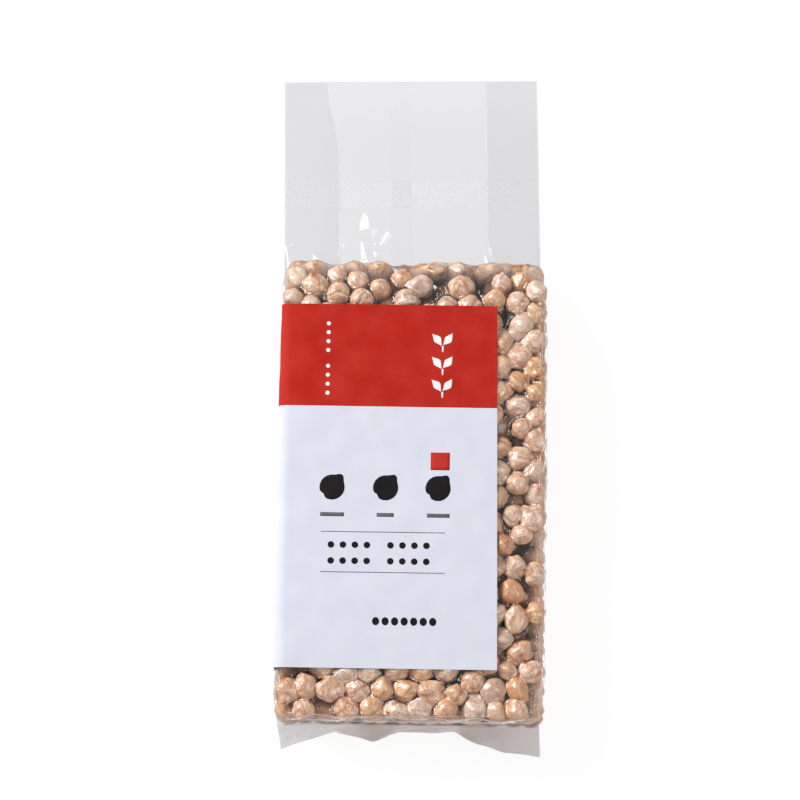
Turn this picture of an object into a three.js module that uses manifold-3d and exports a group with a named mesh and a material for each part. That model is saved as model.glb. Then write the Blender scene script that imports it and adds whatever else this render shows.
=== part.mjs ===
// A vacuum-packed brick of chickpeas lying on its back, in millimetres.
// +Z points up out of the front face, +Y runs towards the open end of the film, +X is the pack's right.
// The film clings to the peas, so the filled bag is one solid whose skin is the peas' relief.
// The origin lies on the surface that the pack rests on, below the middle of its bounding box.
import * as THREE from "three";
import { ConvexHull } from "three/addons/math/ConvexHull.js";
import { mergeVertices } from "three/addons/utils/BufferGeometryUtils.js";
import Module from "manifold-3d";

const wasm = await Module();
wasm.setup();

// Driving dimensions
const PACK_WIDTH = 103.6;
const PACK_THICKNESS = 40;
const BRICK_BOTTOM = -122.4;
const BRICK_TOP = 58;
const EDGE_RADIUS = 3.5;
// How square the film's corners stand, seen from the front: 2 is a plain round corner
const CORNER_POWER = 3;
const PEA_PITCH = 9.6;
// How far the peas' film stands inside the pack's right side
const FILM_STAND = 0.4;
const SEED = 41;

// The printed label: one sheet round the front, the left side and the back
const LABEL = { right: 32.3, bottom: -102.7, top: 37.3, thickness: 0.3, arcSteps: 6 };
// The label's right-hand edge is cut a little aslant: how far it runs left for each step up
const LABEL_SLANT = 0.0075;
// Points this close to the right-hand edge belong to it
const LABEL_EDGE_REACH = 0.1;
// How far the peas stay below the label's outer face
const LABEL_STAND = 0.6;

// The shoulder, where front and back close in on the flat film
const SHOULDER = { start: 41, endShare: 0.34, sideTuck: 1.6 };

// The flat, unfilled end of the film tube, turned a little about the middle of its root
const FLAP = {
  width: 100.2,
  rows: [51, 57, 60, 64, 69, 75, 81.5, 86.5, 91.6, 99, 107, 116, 125, 133.3],
  columns: 18,
  thickness: 0.6,
  leanDegrees: 1.2,
  rootShift: -0.9,
  droop: 3,
  wave: 0.7,
  waveAcross: 2.6,
  waveUp: 2,
  waveEnd: 1.6,
};
// Where front and back film part again, towards the peas, squarely up to the side edges
const WEB = { length: 16, height: 4.5, squareness: 6 };
const SEAL = { from: 81.5, to: 91.6, swell: 0.2 };
const GUSSET = { depth: 20.8, swell: 0.25 };
const BACK_SEAM = { left: -8, right: 0, thickness: 0.35, endGap: 0.5, rows: 12 };

// The cut edge of the bottom seal: [x, how far it shows below the brick], left to right
const FIN_LENGTH = 12.5;
const FIN_THICKNESS = 0.6;
const FIN_ROOT_DEPTH = 8;
const FIN_COLUMNS = 30;
const FIN_ROWS = 3;
const FIN_EDGE = [
  [-49.4, 9.2],
  [-28.4, 2.3],
  [-13.6, 6],
  [-3.3, 2.3],
  [18, 2],
  [26.9, 6.6],
  [36.5, 9.6],
  [49.6, 11.4],
];

// Relief of the film over one pea, as depths below the pea's crown
const RELIEF = { crownSpread: 0.5, ring: 0.6, ringDepth: 0.9, saddle: 1.8, pit: 2.8, beak: 0.3 };
// Under the label the relief is left out: its depth, its margin inside the label and its spacing
const FLAT_DEPTH = 0.2;
const COVER_MARGIN = 5;
const COVERED_PITCH = 26;
// How the crowns push each other apart: how far in pitches, how strongly and how often
const SPREAD = { reach: 1.25, push: 0.24, rounds: 70 };
// The rounded box has a little less area than the plain one
const ROUNDED_AREA_SHARE = 0.94;
// How each face is raised towards its middle before the hull: the share and the squared reach
const HULL_LIFT = { share: 4e-4, reach: 1.6e4 };
const SWAP_ROUNDS = 60;
// More than the number of crowns, so that a pair of them makes one number
const PAIR_BASE = 4096;
// Detail finer than this is left out of the finished solid
const FINEST_DETAIL = 0.02;
const MERGE_DISTANCE = 1e-4;
const TINY = 1e-6;

const HALF_WIDTH = PACK_WIDTH / 2;
const MID_HEIGHT = PACK_THICKNESS / 2;
// The box that the pea crowns touch
const CROWN_BOX = new THREE.Box3(
  new THREE.Vector3(-HALF_WIDTH + LABEL_STAND, BRICK_BOTTOM, LABEL_STAND),
  new THREE.Vector3(HALF_WIDTH - FILM_STAND, BRICK_TOP, PACK_THICKNESS - LABEL_STAND),
);
const INNER_BOX = CROWN_BOX.clone().expandByScalar(-EDGE_RADIUS);

// A seeded random number from 0 to 1
let seedState = SEED;
function random() {
  seedState = (seedState + 0x6d2b79f5) | 0;
  let t = Math.imul(seedState ^ (seedState >>> 15), 1 | seedState);
  t = (t + Math.imul(t ^ (t >>> 7), 61 | t)) ^ t;
  return ((t ^ (t >>> 14)) >>> 0) / 4294967296;
}

// The outward normal of the rounded crown box at the point of it nearest to p
function normalAt(p) {
  const core = INNER_BOX.clampPoint(p, new THREE.Vector3());
  return p.clone().sub(core).normalize();
}

// The point of the rounded crown box nearest to p
function ontoBox(p) {
  const core = INNER_BOX.clampPoint(p, new THREE.Vector3());
  const out = p.clone().sub(core);
  if (out.lengthSq() < TINY) out.set(0, 0, p.z < MID_HEIGHT ? -1 : 1);
  return core.addScaledVector(out.normalize(), EDGE_RADIUS);
}

// True where the label covers the crown box, kept in from its edges by a margin
function underLabel(p, margin) {
  const across = p.x < LABEL.right - margin;
  return across && p.y > LABEL.bottom + margin && p.y < LABEL.top - margin;
}

// A random point on the six faces, each as likely as its area
function randomOnFaces() {
  const size = CROWN_BOX.getSize(new THREE.Vector3());
  const areas = [size.y * size.z, size.x * size.z, size.x * size.y];
  let pick = random() * (areas[0] + areas[1] + areas[2]);
  const axis = pick < areas[0] ? 0 : pick < areas[0] + areas[1] ? 1 : 2;
  const p = new THREE.Vector3(random(), random(), random());
  p.setComponent(axis, random() < 0.5 ? 0 : 1);
  return ontoBox(p.multiply(size).add(CROWN_BOX.min));
}

// Pushes crowded points apart over the surface until they lie evenly
function spreadEvenly(points) {
  const reach = PEA_PITCH * SPREAD.reach;
  for (let round = 0; round < SPREAD.rounds; round++) {
    const moves = points.map(() => new THREE.Vector3());
    for (let i = 0; i < points.length; i++)
      for (let j = i + 1; j < points.length; j++) {
        const gap = points[i].clone().sub(points[j]);
        const distance = gap.length();
        if (distance >= reach || distance < TINY) continue;
        gap.multiplyScalar(((reach - distance) / distance) * SPREAD.push);
        moves[i].add(gap);
        moves[j].sub(gap);
      }
    points.forEach((p, i) => p.copy(ontoBox(p.add(moves[i]))));
  }
  return points;
}

// Pea crowns wherever peas show, and a few plain points under the label
function placePeas() {
  const size = CROWN_BOX.getSize(new THREE.Vector3());
  const area = 2 * (size.x * size.y + size.y * size.z + size.x * size.z) * ROUNDED_AREA_SHARE;
  const count = Math.round(area / ((PEA_PITCH * PEA_PITCH * Math.sqrt(3)) / 2));
  const all = spreadEvenly(Array.from({ length: count }, randomOnFaces));
  const peas = all.filter((p) => !underLabel(p, COVER_MARGIN));
  const covered = [];
  for (const p of all) {
    if (!underLabel(p, COVER_MARGIN)) continue;
    const near = Math.abs(p.x) > INNER_BOX.max.x ? COVERED_PITCH / 2 : COVERED_PITCH;
    if (covered.every((q) => q.distanceTo(p) > near)) covered.push(p);
  }
  return [
    ...peas.map((at) => ({ at, isPea: true })),
    ...covered.map((at) => ({ at, isPea: false })),
  ];
}

// Lifts each face a little like a paraboloid, so that the convex hull joins true neighbours
function lifted(p, middle) {
  const lift = HULL_LIFT.share * (HULL_LIFT.reach - p.distanceToSquared(middle));
  return p.clone().addScaledVector(normalAt(p), lift);
}

// Triangles of neighbouring points, as index triples that face outwards
function neighbours(spots) {
  const middle = new THREE.Vector3(0, (BRICK_BOTTOM + BRICK_TOP) / 2, MID_HEIGHT);
  const index = new Map();
  const raised = spots.map((s, i) => {
    const v = lifted(s.at, middle);
    index.set(v, i);
    return v;
  });
  const hull = new ConvexHull().setFromPoints(raised);
  const triangles = hull.faces.map((face) => {
    const corners = [];
    let edge = face.edge;
    do {
      corners.push(index.get(edge.head().point));
      edge = edge.next;
    } while (edge !== face.edge);
    return corners;
  });
  return swapThinPairs(triangles, spots);
}

// One number for an ordered pair of crowns
const pairKey = (i, j) => i * PAIR_BASE + j;

// Swaps the edge that two triangles share wherever the other diagonal makes them fuller
function swapThinPairs(triangles, spots) {
  const opposite = new Map();
  const setTriangle = (a, b, c) => {
    opposite.set(pairKey(a, b), c);
    opposite.set(pairKey(b, c), a);
    opposite.set(pairKey(c, a), b);
  };
  const angleAt = (c, a, b) => {
    const u = spots[a].at.clone().sub(spots[c].at);
    return u.angleTo(spots[b].at.clone().sub(spots[c].at));
  };
  triangles.forEach((t) => setTriangle(...t));
  let swapped = true;
  for (let round = 0; swapped && round < SWAP_ROUNDS; round++) {
    swapped = false;
    for (const name of [...opposite.keys()]) {
      const a = Math.floor(name / PAIR_BASE);
      const b = name % PAIR_BASE;
      if (a > b || !opposite.has(name)) continue;
      const c = opposite.get(name);
      const d = opposite.get(pairKey(b, a));
      const isFull = angleAt(c, a, b) + angleAt(d, a, b) < Math.PI + TINY;
      if (isFull || opposite.has(pairKey(c, d))) continue;
      opposite.delete(name);
      opposite.delete(pairKey(b, a));
      setTriangle(a, d, c);
      setTriangle(d, b, c);
      swapped = true;
    }
  }
  const fuller = [];
  for (const [name, c] of opposite) {
    const a = Math.floor(name / PAIR_BASE);
    const b = name % PAIR_BASE;
    if (a < b && a < c) fuller.push([a, b, c]);
  }
  return fuller;
}

// Stretches the four upright corners outwards, so that they are squarer than the long edges
function squareCorner(p) {
  const core = INNER_BOX.clampPoint(p, new THREE.Vector3());
  const x = Math.abs(p.x - core.x);
  const y = Math.abs(p.y - core.y);
  if (x < TINY || y < TINY) return p;
  const stretch = Math.hypot(x, y) / (x ** CORNER_POWER + y ** CORNER_POWER) ** (1 / CORNER_POWER);
  p.x = core.x + (p.x - core.x) * stretch;
  p.y = core.y + (p.y - core.y) * stretch;
  return p;
}

// Closes the front and back in towards the flat film, and tucks the sides in a little
function shoulder(p) {
  const t = Math.max(0, (p.y - SHOULDER.start) / (BRICK_TOP - SHOULDER.start));
  const narrow = 1 - (1 - SHOULDER.endShare) * t * t;
  p.z = MID_HEIGHT + (p.z - MID_HEIGHT) * narrow;
  p.x *= 1 - (SHOULDER.sideTuck / HALF_WIDTH) * t * t;
  return p;
}

// The relief of film over peas, as one closed mesh
function brickSolid() {
  const spots = placePeas();
  const triangles = neighbours(spots);
  const linked = new Set(triangles.flat());
  const positions = [];
  const faces = [];
  const add = (p) => positions.push(shoulder(squareCorner(p)).toArray()) - 1;
  const sunk = (p, depth) => ontoBox(p.clone()).addScaledVector(normalAt(p), -depth);

  // Ring points round each pea, one towards each neighbour, shared by the triangles on both sides
  const rings = new Map();
  const mids = new Map();
  const crownDrop = spots.map(() => random() * RELIEF.crownSpread);
  const onFloor = (i) => spots[i].at.z < CROWN_BOX.min.z + 1;
  const crownDepth = (i) => (onFloor(i) ? 0 : crownDrop[i]);
  function ring(i, j) {
    if (!rings.has(pairKey(i, j))) {
      const half = spots[i].at.clone().lerp(spots[j].at, RELIEF.ring / 2);
      rings.set(pairKey(i, j), add(sunk(half, crownDepth(i) + RELIEF.ringDepth)));
    }
    return rings.get(pairKey(i, j));
  }
  function mid(i, j) {
    const name = pairKey(Math.min(i, j), Math.max(i, j));
    if (!mids.has(name)) {
      const half = spots[i].at.clone().lerp(spots[j].at, 0.5);
      mids.set(name, add(sunk(half, RELIEF.saddle)));
    }
    return mids.get(name);
  }
  const plain = spots.map((s, i) =>
    !s.isPea && linked.has(i) ? add(sunk(s.at, FLAT_DEPTH)) : -1,
  );

  const rounds = spots.map(() => []);
  for (const corners of triangles) {
    if (corners.every((i) => !spots[i].isPea)) {
      faces.push(corners.map((i) => plain[i]));
      continue;
    }
    const loop = [];
    corners.forEach((i, k) => {
      const next = corners[(k + 1) % 3];
      const last = corners[(k + 2) % 3];
      if (spots[i].isPea) {
        loop.push(ring(i, last), ring(i, next));
        rounds[i].push([ring(i, last), ring(i, next)]);
      } else loop.push(plain[i]);
      if (spots[i].isPea || spots[next].isPea) loop.push(mid(i, next));
    });
    const centre = new THREE.Vector3();
    corners.forEach((i) => centre.addScaledVector(spots[i].at, 1 / 3));
    const pit = add(sunk(centre, RELIEF.pit));
    loop.forEach((a, k) => faces.push([pit, a, loop[(k + 1) % loop.length]]));
  }

  // The crowns: a fan to each pea's own top, set off centre as a chickpea's beak is
  spots.forEach((s, i) => {
    if (!s.isPea || !rounds[i].length) return;
    const around = rounds[i].map(([a]) => positions[a]);
    const towards = new THREE.Vector3(...around[Math.floor(random() * around.length)]);
    const crown = s.at.clone().lerp(towards, RELIEF.beak * random());
    const top = add(sunk(crown, crownDepth(i)));
    for (const [a, b] of rounds[i]) faces.push([top, b, a]);
  });
  return solidOf(positions, faces);
}

// A manifold solid from a list of points and index triples
function solidOf(positions, faces) {
  const geometry = new THREE.BufferGeometry();
  geometry.setAttribute("position", new THREE.Float32BufferAttribute(positions.flat(), 3));
  geometry.setIndex(faces.flat());
  const merged = mergeVertices(geometry, MERGE_DISTANCE);
  return new wasm.Manifold(
    new wasm.Mesh({
      numProp: 3,
      vertProperties: merged.attributes.position.array,
      triVerts: new Uint32Array(merged.index.array),
    }),
  );
}

// A closed sheet of film: place(u, v, side) gives each point, with side -1 below and 1 above
function sheetSolid(columns, rows, place) {
  const positions = [];
  const faces = [];
  const at = (i, j, side) => (side > 0 ? 0 : 1) + 2 * (j * (columns + 1) + i);
  for (let j = 0; j <= rows; j++)
    for (let i = 0; i <= columns; i++)
      for (const side of [1, -1])
        positions.push(place(i / columns, j / rows, side).toArray());
  const quad = (a, b, c, d) => faces.push([a, b, c], [a, c, d]);
  for (let j = 0; j < rows; j++)
    for (let i = 0; i < columns; i++) {
      quad(at(i, j, 1), at(i + 1, j, 1), at(i + 1, j + 1, 1), at(i, j + 1, 1));
      quad(at(i, j, -1), at(i, j + 1, -1), at(i + 1, j + 1, -1), at(i + 1, j, -1));
    }
  for (let i = 0; i < columns; i++) {
    quad(at(i, 0, 1), at(i, 0, -1), at(i + 1, 0, -1), at(i + 1, 0, 1));
    quad(at(i, rows, 1), at(i + 1, rows, 1), at(i + 1, rows, -1), at(i, rows, -1));
  }
  for (let j = 0; j < rows; j++) {
    quad(at(0, j, 1), at(0, j + 1, 1), at(0, j + 1, -1), at(0, j, -1));
    quad(at(columns, j, 1), at(columns, j, -1), at(columns, j + 1, -1), at(columns, j + 1, 1));
  }
  return solidOf(positions, faces);
}

// The middle surface of the flap at a place across (-1 to 1) and up its length
function flapPoint(across, y) {
  const t = Math.max(0, (y - BRICK_TOP) / (FLAP.rows.at(-1) - BRICK_TOP));
  const swell = Math.sin(Math.PI * Math.min(1, t * FLAP.waveEnd));
  const wave = FLAP.wave * Math.sin(across * FLAP.waveAcross + t * FLAP.waveUp) * swell;
  const z = MID_HEIGHT - FLAP.droop * t * t + wave;
  const lean = THREE.MathUtils.degToRad(FLAP.leanDegrees);
  const p = new THREE.Vector3((across * FLAP.width) / 2, y - BRICK_TOP, 0);
  p.applyAxisAngle(new THREE.Vector3(0, 0, 1), lean);
  return p.add(new THREE.Vector3(FLAP.rootShift, BRICK_TOP, z));
}

// The flap is thicker over the side gussets and the sealed band, and opens out at its root
function flapHalfThickness(across, y) {
  const inGusset = Math.abs(across) > 1 - (2 * GUSSET.depth) / FLAP.width;
  const inSeal = y >= SEAL.from && y <= SEAL.to;
  const opening = Math.max(0, 1 - Math.max(0, y - BRICK_TOP) / WEB.length);
  const web = WEB.height * opening * opening * (1 - across ** WEB.squareness);
  return FLAP.thickness / 2 + (inGusset ? GUSSET.swell : 0) + (inSeal ? SEAL.swell : 0) + web;
}

// The flat film end
function flapSolid() {
  const rows = FLAP.rows.length - 1;
  return sheetSolid(FLAP.columns, rows, (u, v, side) => {
    const across = 2 * u - 1;
    const y = FLAP.rows[Math.round(v * rows)];
    const p = flapPoint(across, y);
    p.z += side * flapHalfThickness(across, y);
    return p;
  });
}

// The lapped seam down the back of the flap
function backSeamSolid() {
  const from = FLAP.rows[1];
  const to = FLAP.rows.at(-1) - BACK_SEAM.endGap;
  return sheetSolid(2, BACK_SEAM.rows, (u, v, side) => {
    const across = (2 * THREE.MathUtils.lerp(BACK_SEAM.left, BACK_SEAM.right, u)) / FLAP.width;
    const y = THREE.MathUtils.lerp(from, to, v);
    const p = flapPoint(across, y);
    p.z -= side > 0 ? 0 : flapHalfThickness(0, y) + BACK_SEAM.thickness;
    return p;
  });
}

// How far the fin shows below the brick at a share of its width
function finShows(u) {
  const x = THREE.MathUtils.lerp(FIN_EDGE[0][0], FIN_EDGE.at(-1)[0], u);
  const k = Math.max(1, FIN_EDGE.findIndex(([at]) => at >= x - TINY));
  const [x0, y0] = FIN_EDGE[k - 1];
  const [x1, y1] = FIN_EDGE[k];
  return { x, shows: THREE.MathUtils.mapLinear(x, x0, x1, y0, y1) };
}

// The fin of the bottom seal: one even strip, folded back the more, the less of it shows
function finSolid() {
  return sheetSolid(FIN_COLUMNS, FIN_ROWS + 1, (u, v, side) => {
    const { x, shows } = finShows(1 - u);
    const fold = Math.acos(shows / FIN_LENGTH);
    const half = (side * FIN_THICKNESS) / 2;
    const row = Math.round(v * (FIN_ROWS + 1));
    if (row === 0)
      return new THREE.Vector3(x, BRICK_BOTTOM + FIN_ROOT_DEPTH, MID_HEIGHT + half);
    const out = (FIN_LENGTH * (row - 1)) / FIN_ROWS;
    // At the fold line both sheets' faces meet on the line that halves the angle
    const tilt = row === 1 ? fold / 2 : fold;
    const reach = row === 1 ? half / Math.cos(tilt) : half;
    return new THREE.Vector3(
      x,
      BRICK_BOTTOM - out * Math.cos(fold) - reach * Math.sin(tilt),
      MID_HEIGHT - out * Math.sin(fold) + reach * Math.cos(tilt),
    );
  });
}

// The label: a U-shaped strip round the rounded left edges, pulled along the pack
function labelGeometry() {
  const outer = EDGE_RADIUS + LABEL_STAND;
  const left = -HALF_WIDTH + outer;
  const top = PACK_THICKNESS - outer;
  const shape = new THREE.Shape();
  const inner = outer - LABEL.thickness;
  shape.moveTo(LABEL.right, 0);
  shape.lineTo(LABEL.right, LABEL.thickness);
  shape.lineTo(left, LABEL.thickness);
  shape.absarc(left, outer, inner, -Math.PI / 2, -Math.PI, true);
  shape.lineTo(left - inner, top);
  shape.absarc(left, top, inner, Math.PI, Math.PI / 2, true);
  shape.lineTo(LABEL.right, PACK_THICKNESS - LABEL.thickness);
  shape.lineTo(LABEL.right, PACK_THICKNESS);
  shape.lineTo(left, PACK_THICKNESS);
  shape.absarc(left, top, outer, Math.PI / 2, Math.PI, false);
  shape.lineTo(-HALF_WIDTH, outer);
  shape.absarc(left, outer, outer, Math.PI, Math.PI * 1.5, false);
  const geometry = new THREE.ExtrudeGeometry(shape, {
    depth: LABEL.top - LABEL.bottom,
    bevelEnabled: false,
    curveSegments: LABEL.arcSteps,
  });
  // The shape's plane is X and Z of the pack, and its pull runs towards +Y
  geometry.rotateX(Math.PI / 2);
  geometry.translate(0, LABEL.top, 0);
  const at = geometry.attributes.position;
  const middle = (LABEL.top + LABEL.bottom) / 2;
  for (let i = 0; i < at.count; i++)
    if (at.getX(i) > LABEL.right - LABEL_EDGE_REACH)
      at.setX(i, LABEL.right - LABEL_SLANT * (at.getY(i) - middle));
  return geometry;
}

// A drawable geometry of a solid
function geometryOf(solid) {
  const mesh = solid.getMesh();
  const geometry = new THREE.BufferGeometry();
  geometry.setAttribute("position", new THREE.BufferAttribute(mesh.vertProperties, 3));
  geometry.setIndex(new THREE.BufferAttribute(mesh.triVerts, 1));
  geometry.computeVertexNormals();
  return geometry;
}

// Finishes
const PEA_TAN = new THREE.MeshStandardMaterial({ color: 0xd2a482, roughness: 0.35, metalness: 0 });
const LABEL_WHITE = new THREE.MeshStandardMaterial({ color: 0xe3e5f2, roughness: 0.6, metalness: 0 });

// The pack
const filmSolid = flapSolid().add(backSeamSolid()).add(finSolid());
const bagSolid = brickSolid().add(filmSolid).simplify(FINEST_DETAIL);
const bag = new THREE.Mesh(geometryOf(bagSolid), PEA_TAN);
bag.name = "filled_bag";

const label = new THREE.Mesh(labelGeometry(), LABEL_WHITE);
label.name = "label";

const pack = new THREE.Group();
pack.add(bag, label);

export default pack;
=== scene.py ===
"""A vacuum-packed brick of chickpeas in clear film with a wrap-round label, lying on its back."""

import logging
import math
from collections.abc import Callable
from dataclasses import dataclass, field
from enum import Enum
from typing import ClassVar

import bmesh
import bpy
import numpy as np
from mathutils import Matrix, Quaternion, Vector
from mathutils.bvhtree import BVHTree


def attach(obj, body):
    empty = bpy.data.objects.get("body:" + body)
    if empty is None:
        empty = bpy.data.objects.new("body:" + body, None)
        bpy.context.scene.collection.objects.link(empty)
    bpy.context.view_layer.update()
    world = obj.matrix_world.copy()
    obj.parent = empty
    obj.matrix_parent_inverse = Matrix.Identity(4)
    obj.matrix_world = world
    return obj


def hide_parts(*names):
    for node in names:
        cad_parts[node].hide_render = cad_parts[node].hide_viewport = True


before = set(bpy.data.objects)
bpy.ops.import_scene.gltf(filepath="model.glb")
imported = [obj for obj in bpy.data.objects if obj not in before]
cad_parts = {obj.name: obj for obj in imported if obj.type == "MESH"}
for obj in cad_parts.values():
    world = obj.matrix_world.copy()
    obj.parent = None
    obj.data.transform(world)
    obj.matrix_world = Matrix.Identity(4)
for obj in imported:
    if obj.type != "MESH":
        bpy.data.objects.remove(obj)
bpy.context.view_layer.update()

LOG = logging.getLogger("chickpea_pack")
MM = 0.001
SEED = 23
MID_HEIGHT = 20 * MM
CRISP_ANGLE = math.radians(60)
TINY = 1e-9
WHITE = (1.0, 1.0, 1.0, 1.0)
Colour = tuple[float, float, float, float]
Placer = Callable[[np.ndarray, np.ndarray, np.ndarray], np.ndarray]


def linear(red: int, green: int, blue: int, alpha: float = 1.0) -> Colour:
    """Turns a screen colour of 0 to 255 into Blender's linear colour.

    Args:
        red: The screen's red.
        green: The screen's green.
        blue: The screen's blue.
        alpha: The colour's fourth value, kept as it is.

    Returns:
        The linear colour with its fourth value.
    """
    steps = [c / 255 for c in (red, green, blue)]
    lin = [c / 12.92 if c <= 0.04045 else ((c + 0.055) / 1.055) ** 2.4 for c in steps]
    return (lin[0], lin[1], lin[2], alpha)


def smooth_step(low: float, high: float, value: np.ndarray) -> np.ndarray:
    """Rises smoothly from 0 at low to 1 at high.

    Args:
        low: Where it starts to rise.
        high: Where it is full.
        value: The places along the rise.

    Returns:
        The shares from 0 to 1.
    """
    t = np.clip((value - low) / (high - low), 0, 1)
    return t * t * (3 - 2 * t)


@dataclass
class Ripples:
    """A smooth random field over points, made of crossing waves.

    Attributes:
        wavelength: The usual distance from crest to crest.
        seed: Chooses the waves.
        count: How many waves cross.
    """

    wavelength: float
    seed: int
    count: int = 18

    def __post_init__(self) -> None:
        """Draws each wave's direction, length and start."""
        rng = np.random.default_rng(self.seed)
        ways = rng.normal(size=(self.count, 3))
        ways /= np.linalg.norm(ways, axis=1)[:, None]
        lengths = self.wavelength * rng.uniform(0.75, 1.5, self.count)
        self.ways = ways * (2 * math.pi / lengths)[:, None]
        self.starts = rng.uniform(0, 2 * math.pi, self.count)

    def at(self, points: np.ndarray) -> np.ndarray:
        """Gives the field at points, mostly between -1 and 1.

        Args:
            points: One row for each point.

        Returns:
            One value for each point.
        """
        total = np.sin(points @ self.ways.T + self.starts).sum(axis=1)
        return total / math.sqrt(self.count)


def object_from(name: str, bm: bmesh.types.BMesh, crisp: bool = False) -> bpy.types.Object:
    """Turns a bmesh into a smooth-shaded object that rides on the pack's one body.

    Args:
        name: The piece's name.
        bm: The shape, freed afterwards.
        crisp: Whether its cut borders stay sharp.

    Returns:
        The new object, at the origin.
    """
    mesh = bpy.data.meshes.new(name)
    bm.to_mesh(mesh)
    bm.free()
    mesh.shade_smooth()
    if crisp:
        mesh.set_sharp_from_angle(angle=CRISP_ANGLE)
    made = bpy.data.objects.new(name, mesh)
    bpy.context.scene.collection.objects.link(made)
    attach(made, "root")
    return made


def mark_film(
    piece: bpy.types.Object,
    slack: float | np.ndarray,
    sealed: float | np.ndarray = 0.0,
    embossed: float | np.ndarray = 0.0,
    shaded: float | np.ndarray = 0.0,
) -> None:
    """Writes how the film lies at each vertex, for its finish.

    Args:
        piece: The film's piece.
        slack: 0 where it lies tight on a pea, 1 where it is loose.
        sealed: 1 inside a sealed band.
        embossed: How deep the band's ribs are pressed, from 0 to 1.
        shaded: 1 where the film's painted shade is fullest, darkening what shows through it.
    """
    count = len(piece.data.vertices)
    marks = {"film_slack": slack, "film_seal": sealed, "film_ribs": embossed, "film_shade": shaded}
    for name, value in marks.items():
        mark_points(piece, name, np.broadcast_to(value, (count,)))


def mark_points(piece: bpy.types.Object, name: str, values: np.ndarray) -> None:
    """Writes one number, or one row of three, for each vertex of a piece.

    Args:
        piece: The piece.
        name: The attribute's name.
        values: The numbers, in the order of the vertices.
    """
    kind, key = ("FLOAT_VECTOR", "vector") if values.ndim == 2 else ("FLOAT", "value")
    marks = piece.data.attributes.new(name, kind, "POINT")
    marks.data.foreach_set(key, np.ascontiguousarray(values, dtype=float).ravel())


def vertex_places(piece: bpy.types.Object) -> np.ndarray:
    """Gives the places of a piece's vertices.

    Args:
        piece: The piece.

    Returns:
        The places as rows of numbers.
    """
    places = np.zeros(len(piece.data.vertices) * 3)
    piece.data.vertices.foreach_get("co", places)
    return places.reshape(-1, 3)


def coordinates(vertices: list[bmesh.types.BMVert]) -> np.ndarray:
    """Gives the places of bmesh vertices as rows of numbers."""
    return np.array([v.co[:] for v in vertices])


def box_of(size: np.ndarray, middle: np.ndarray) -> bmesh.types.BMesh:
    """Makes a plain box.

    Args:
        size: Its width, length and thickness.
        middle: Its middle.

    Returns:
        The box as a new bmesh.
    """
    bm = bmesh.new()
    made = bmesh.ops.create_cube(bm, size=1)["verts"]
    bmesh.ops.scale(bm, verts=made, vec=size)
    bmesh.ops.translate(bm, verts=made, vec=middle)
    return bm


def split_along(bm: bmesh.types.BMesh, edges: list[bmesh.types.BMEdge], axis: int, pieces: int) -> None:
    """Divides those of the edges that run along an axis into equal pieces, filling the faces as a grid.

    Args:
        bm: The mesh that holds the edges.
        edges: The edges to choose from.
        axis: 0, 1 or 2 for X, Y or Z.
        pieces: How many pieces each edge becomes.
    """
    if pieces < 2:
        return
    along = []
    for edge in edges:
        way = edge.verts[0].co - edge.verts[1].co
        if abs(way[axis]) > 0.99 * way.length:
            along.append(edge)
    bmesh.ops.subdivide_edges(bm, edges=along, cuts=pieces - 1, use_grid_fill=True)


def add_sheet(bm: bmesh.types.BMesh, columns: int, rows: int, place: Placer) -> list[bmesh.types.BMVert]:
    """Adds a closed thin sheet to a bmesh: a flat block, divided and then bent into place.

    Args:
        bm: The mesh to add to.
        columns: How many faces lie across.
        rows: How many faces lie along.
        place: Takes arrays of u and v from 0 to 1 and of side, -1 or 1, and gives the points.

    Returns:
        The sheet's vertices.
    """
    before = set(bm.edges)
    made = bmesh.ops.create_cube(bm, size=1)["verts"]
    bmesh.ops.translate(bm, verts=made, vec=(0.5, 0.5, 0))
    for axis, pieces in ((0, columns), (1, rows)):
        split_along(bm, [e for e in bm.edges if e not in before], axis, pieces)
    edges = [e for e in bm.edges if e not in before]
    vertices = list({v for e in edges for v in e.verts})
    unit = coordinates(vertices)
    placed = place(unit[:, 0], unit[:, 1], np.sign(unit[:, 2]))
    for vertex, point in zip(vertices, placed):
        vertex.co = point
    faces = list({f for v in vertices for f in v.link_faces})
    bmesh.ops.recalc_face_normals(bm, faces=faces)
    return vertices


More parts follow.
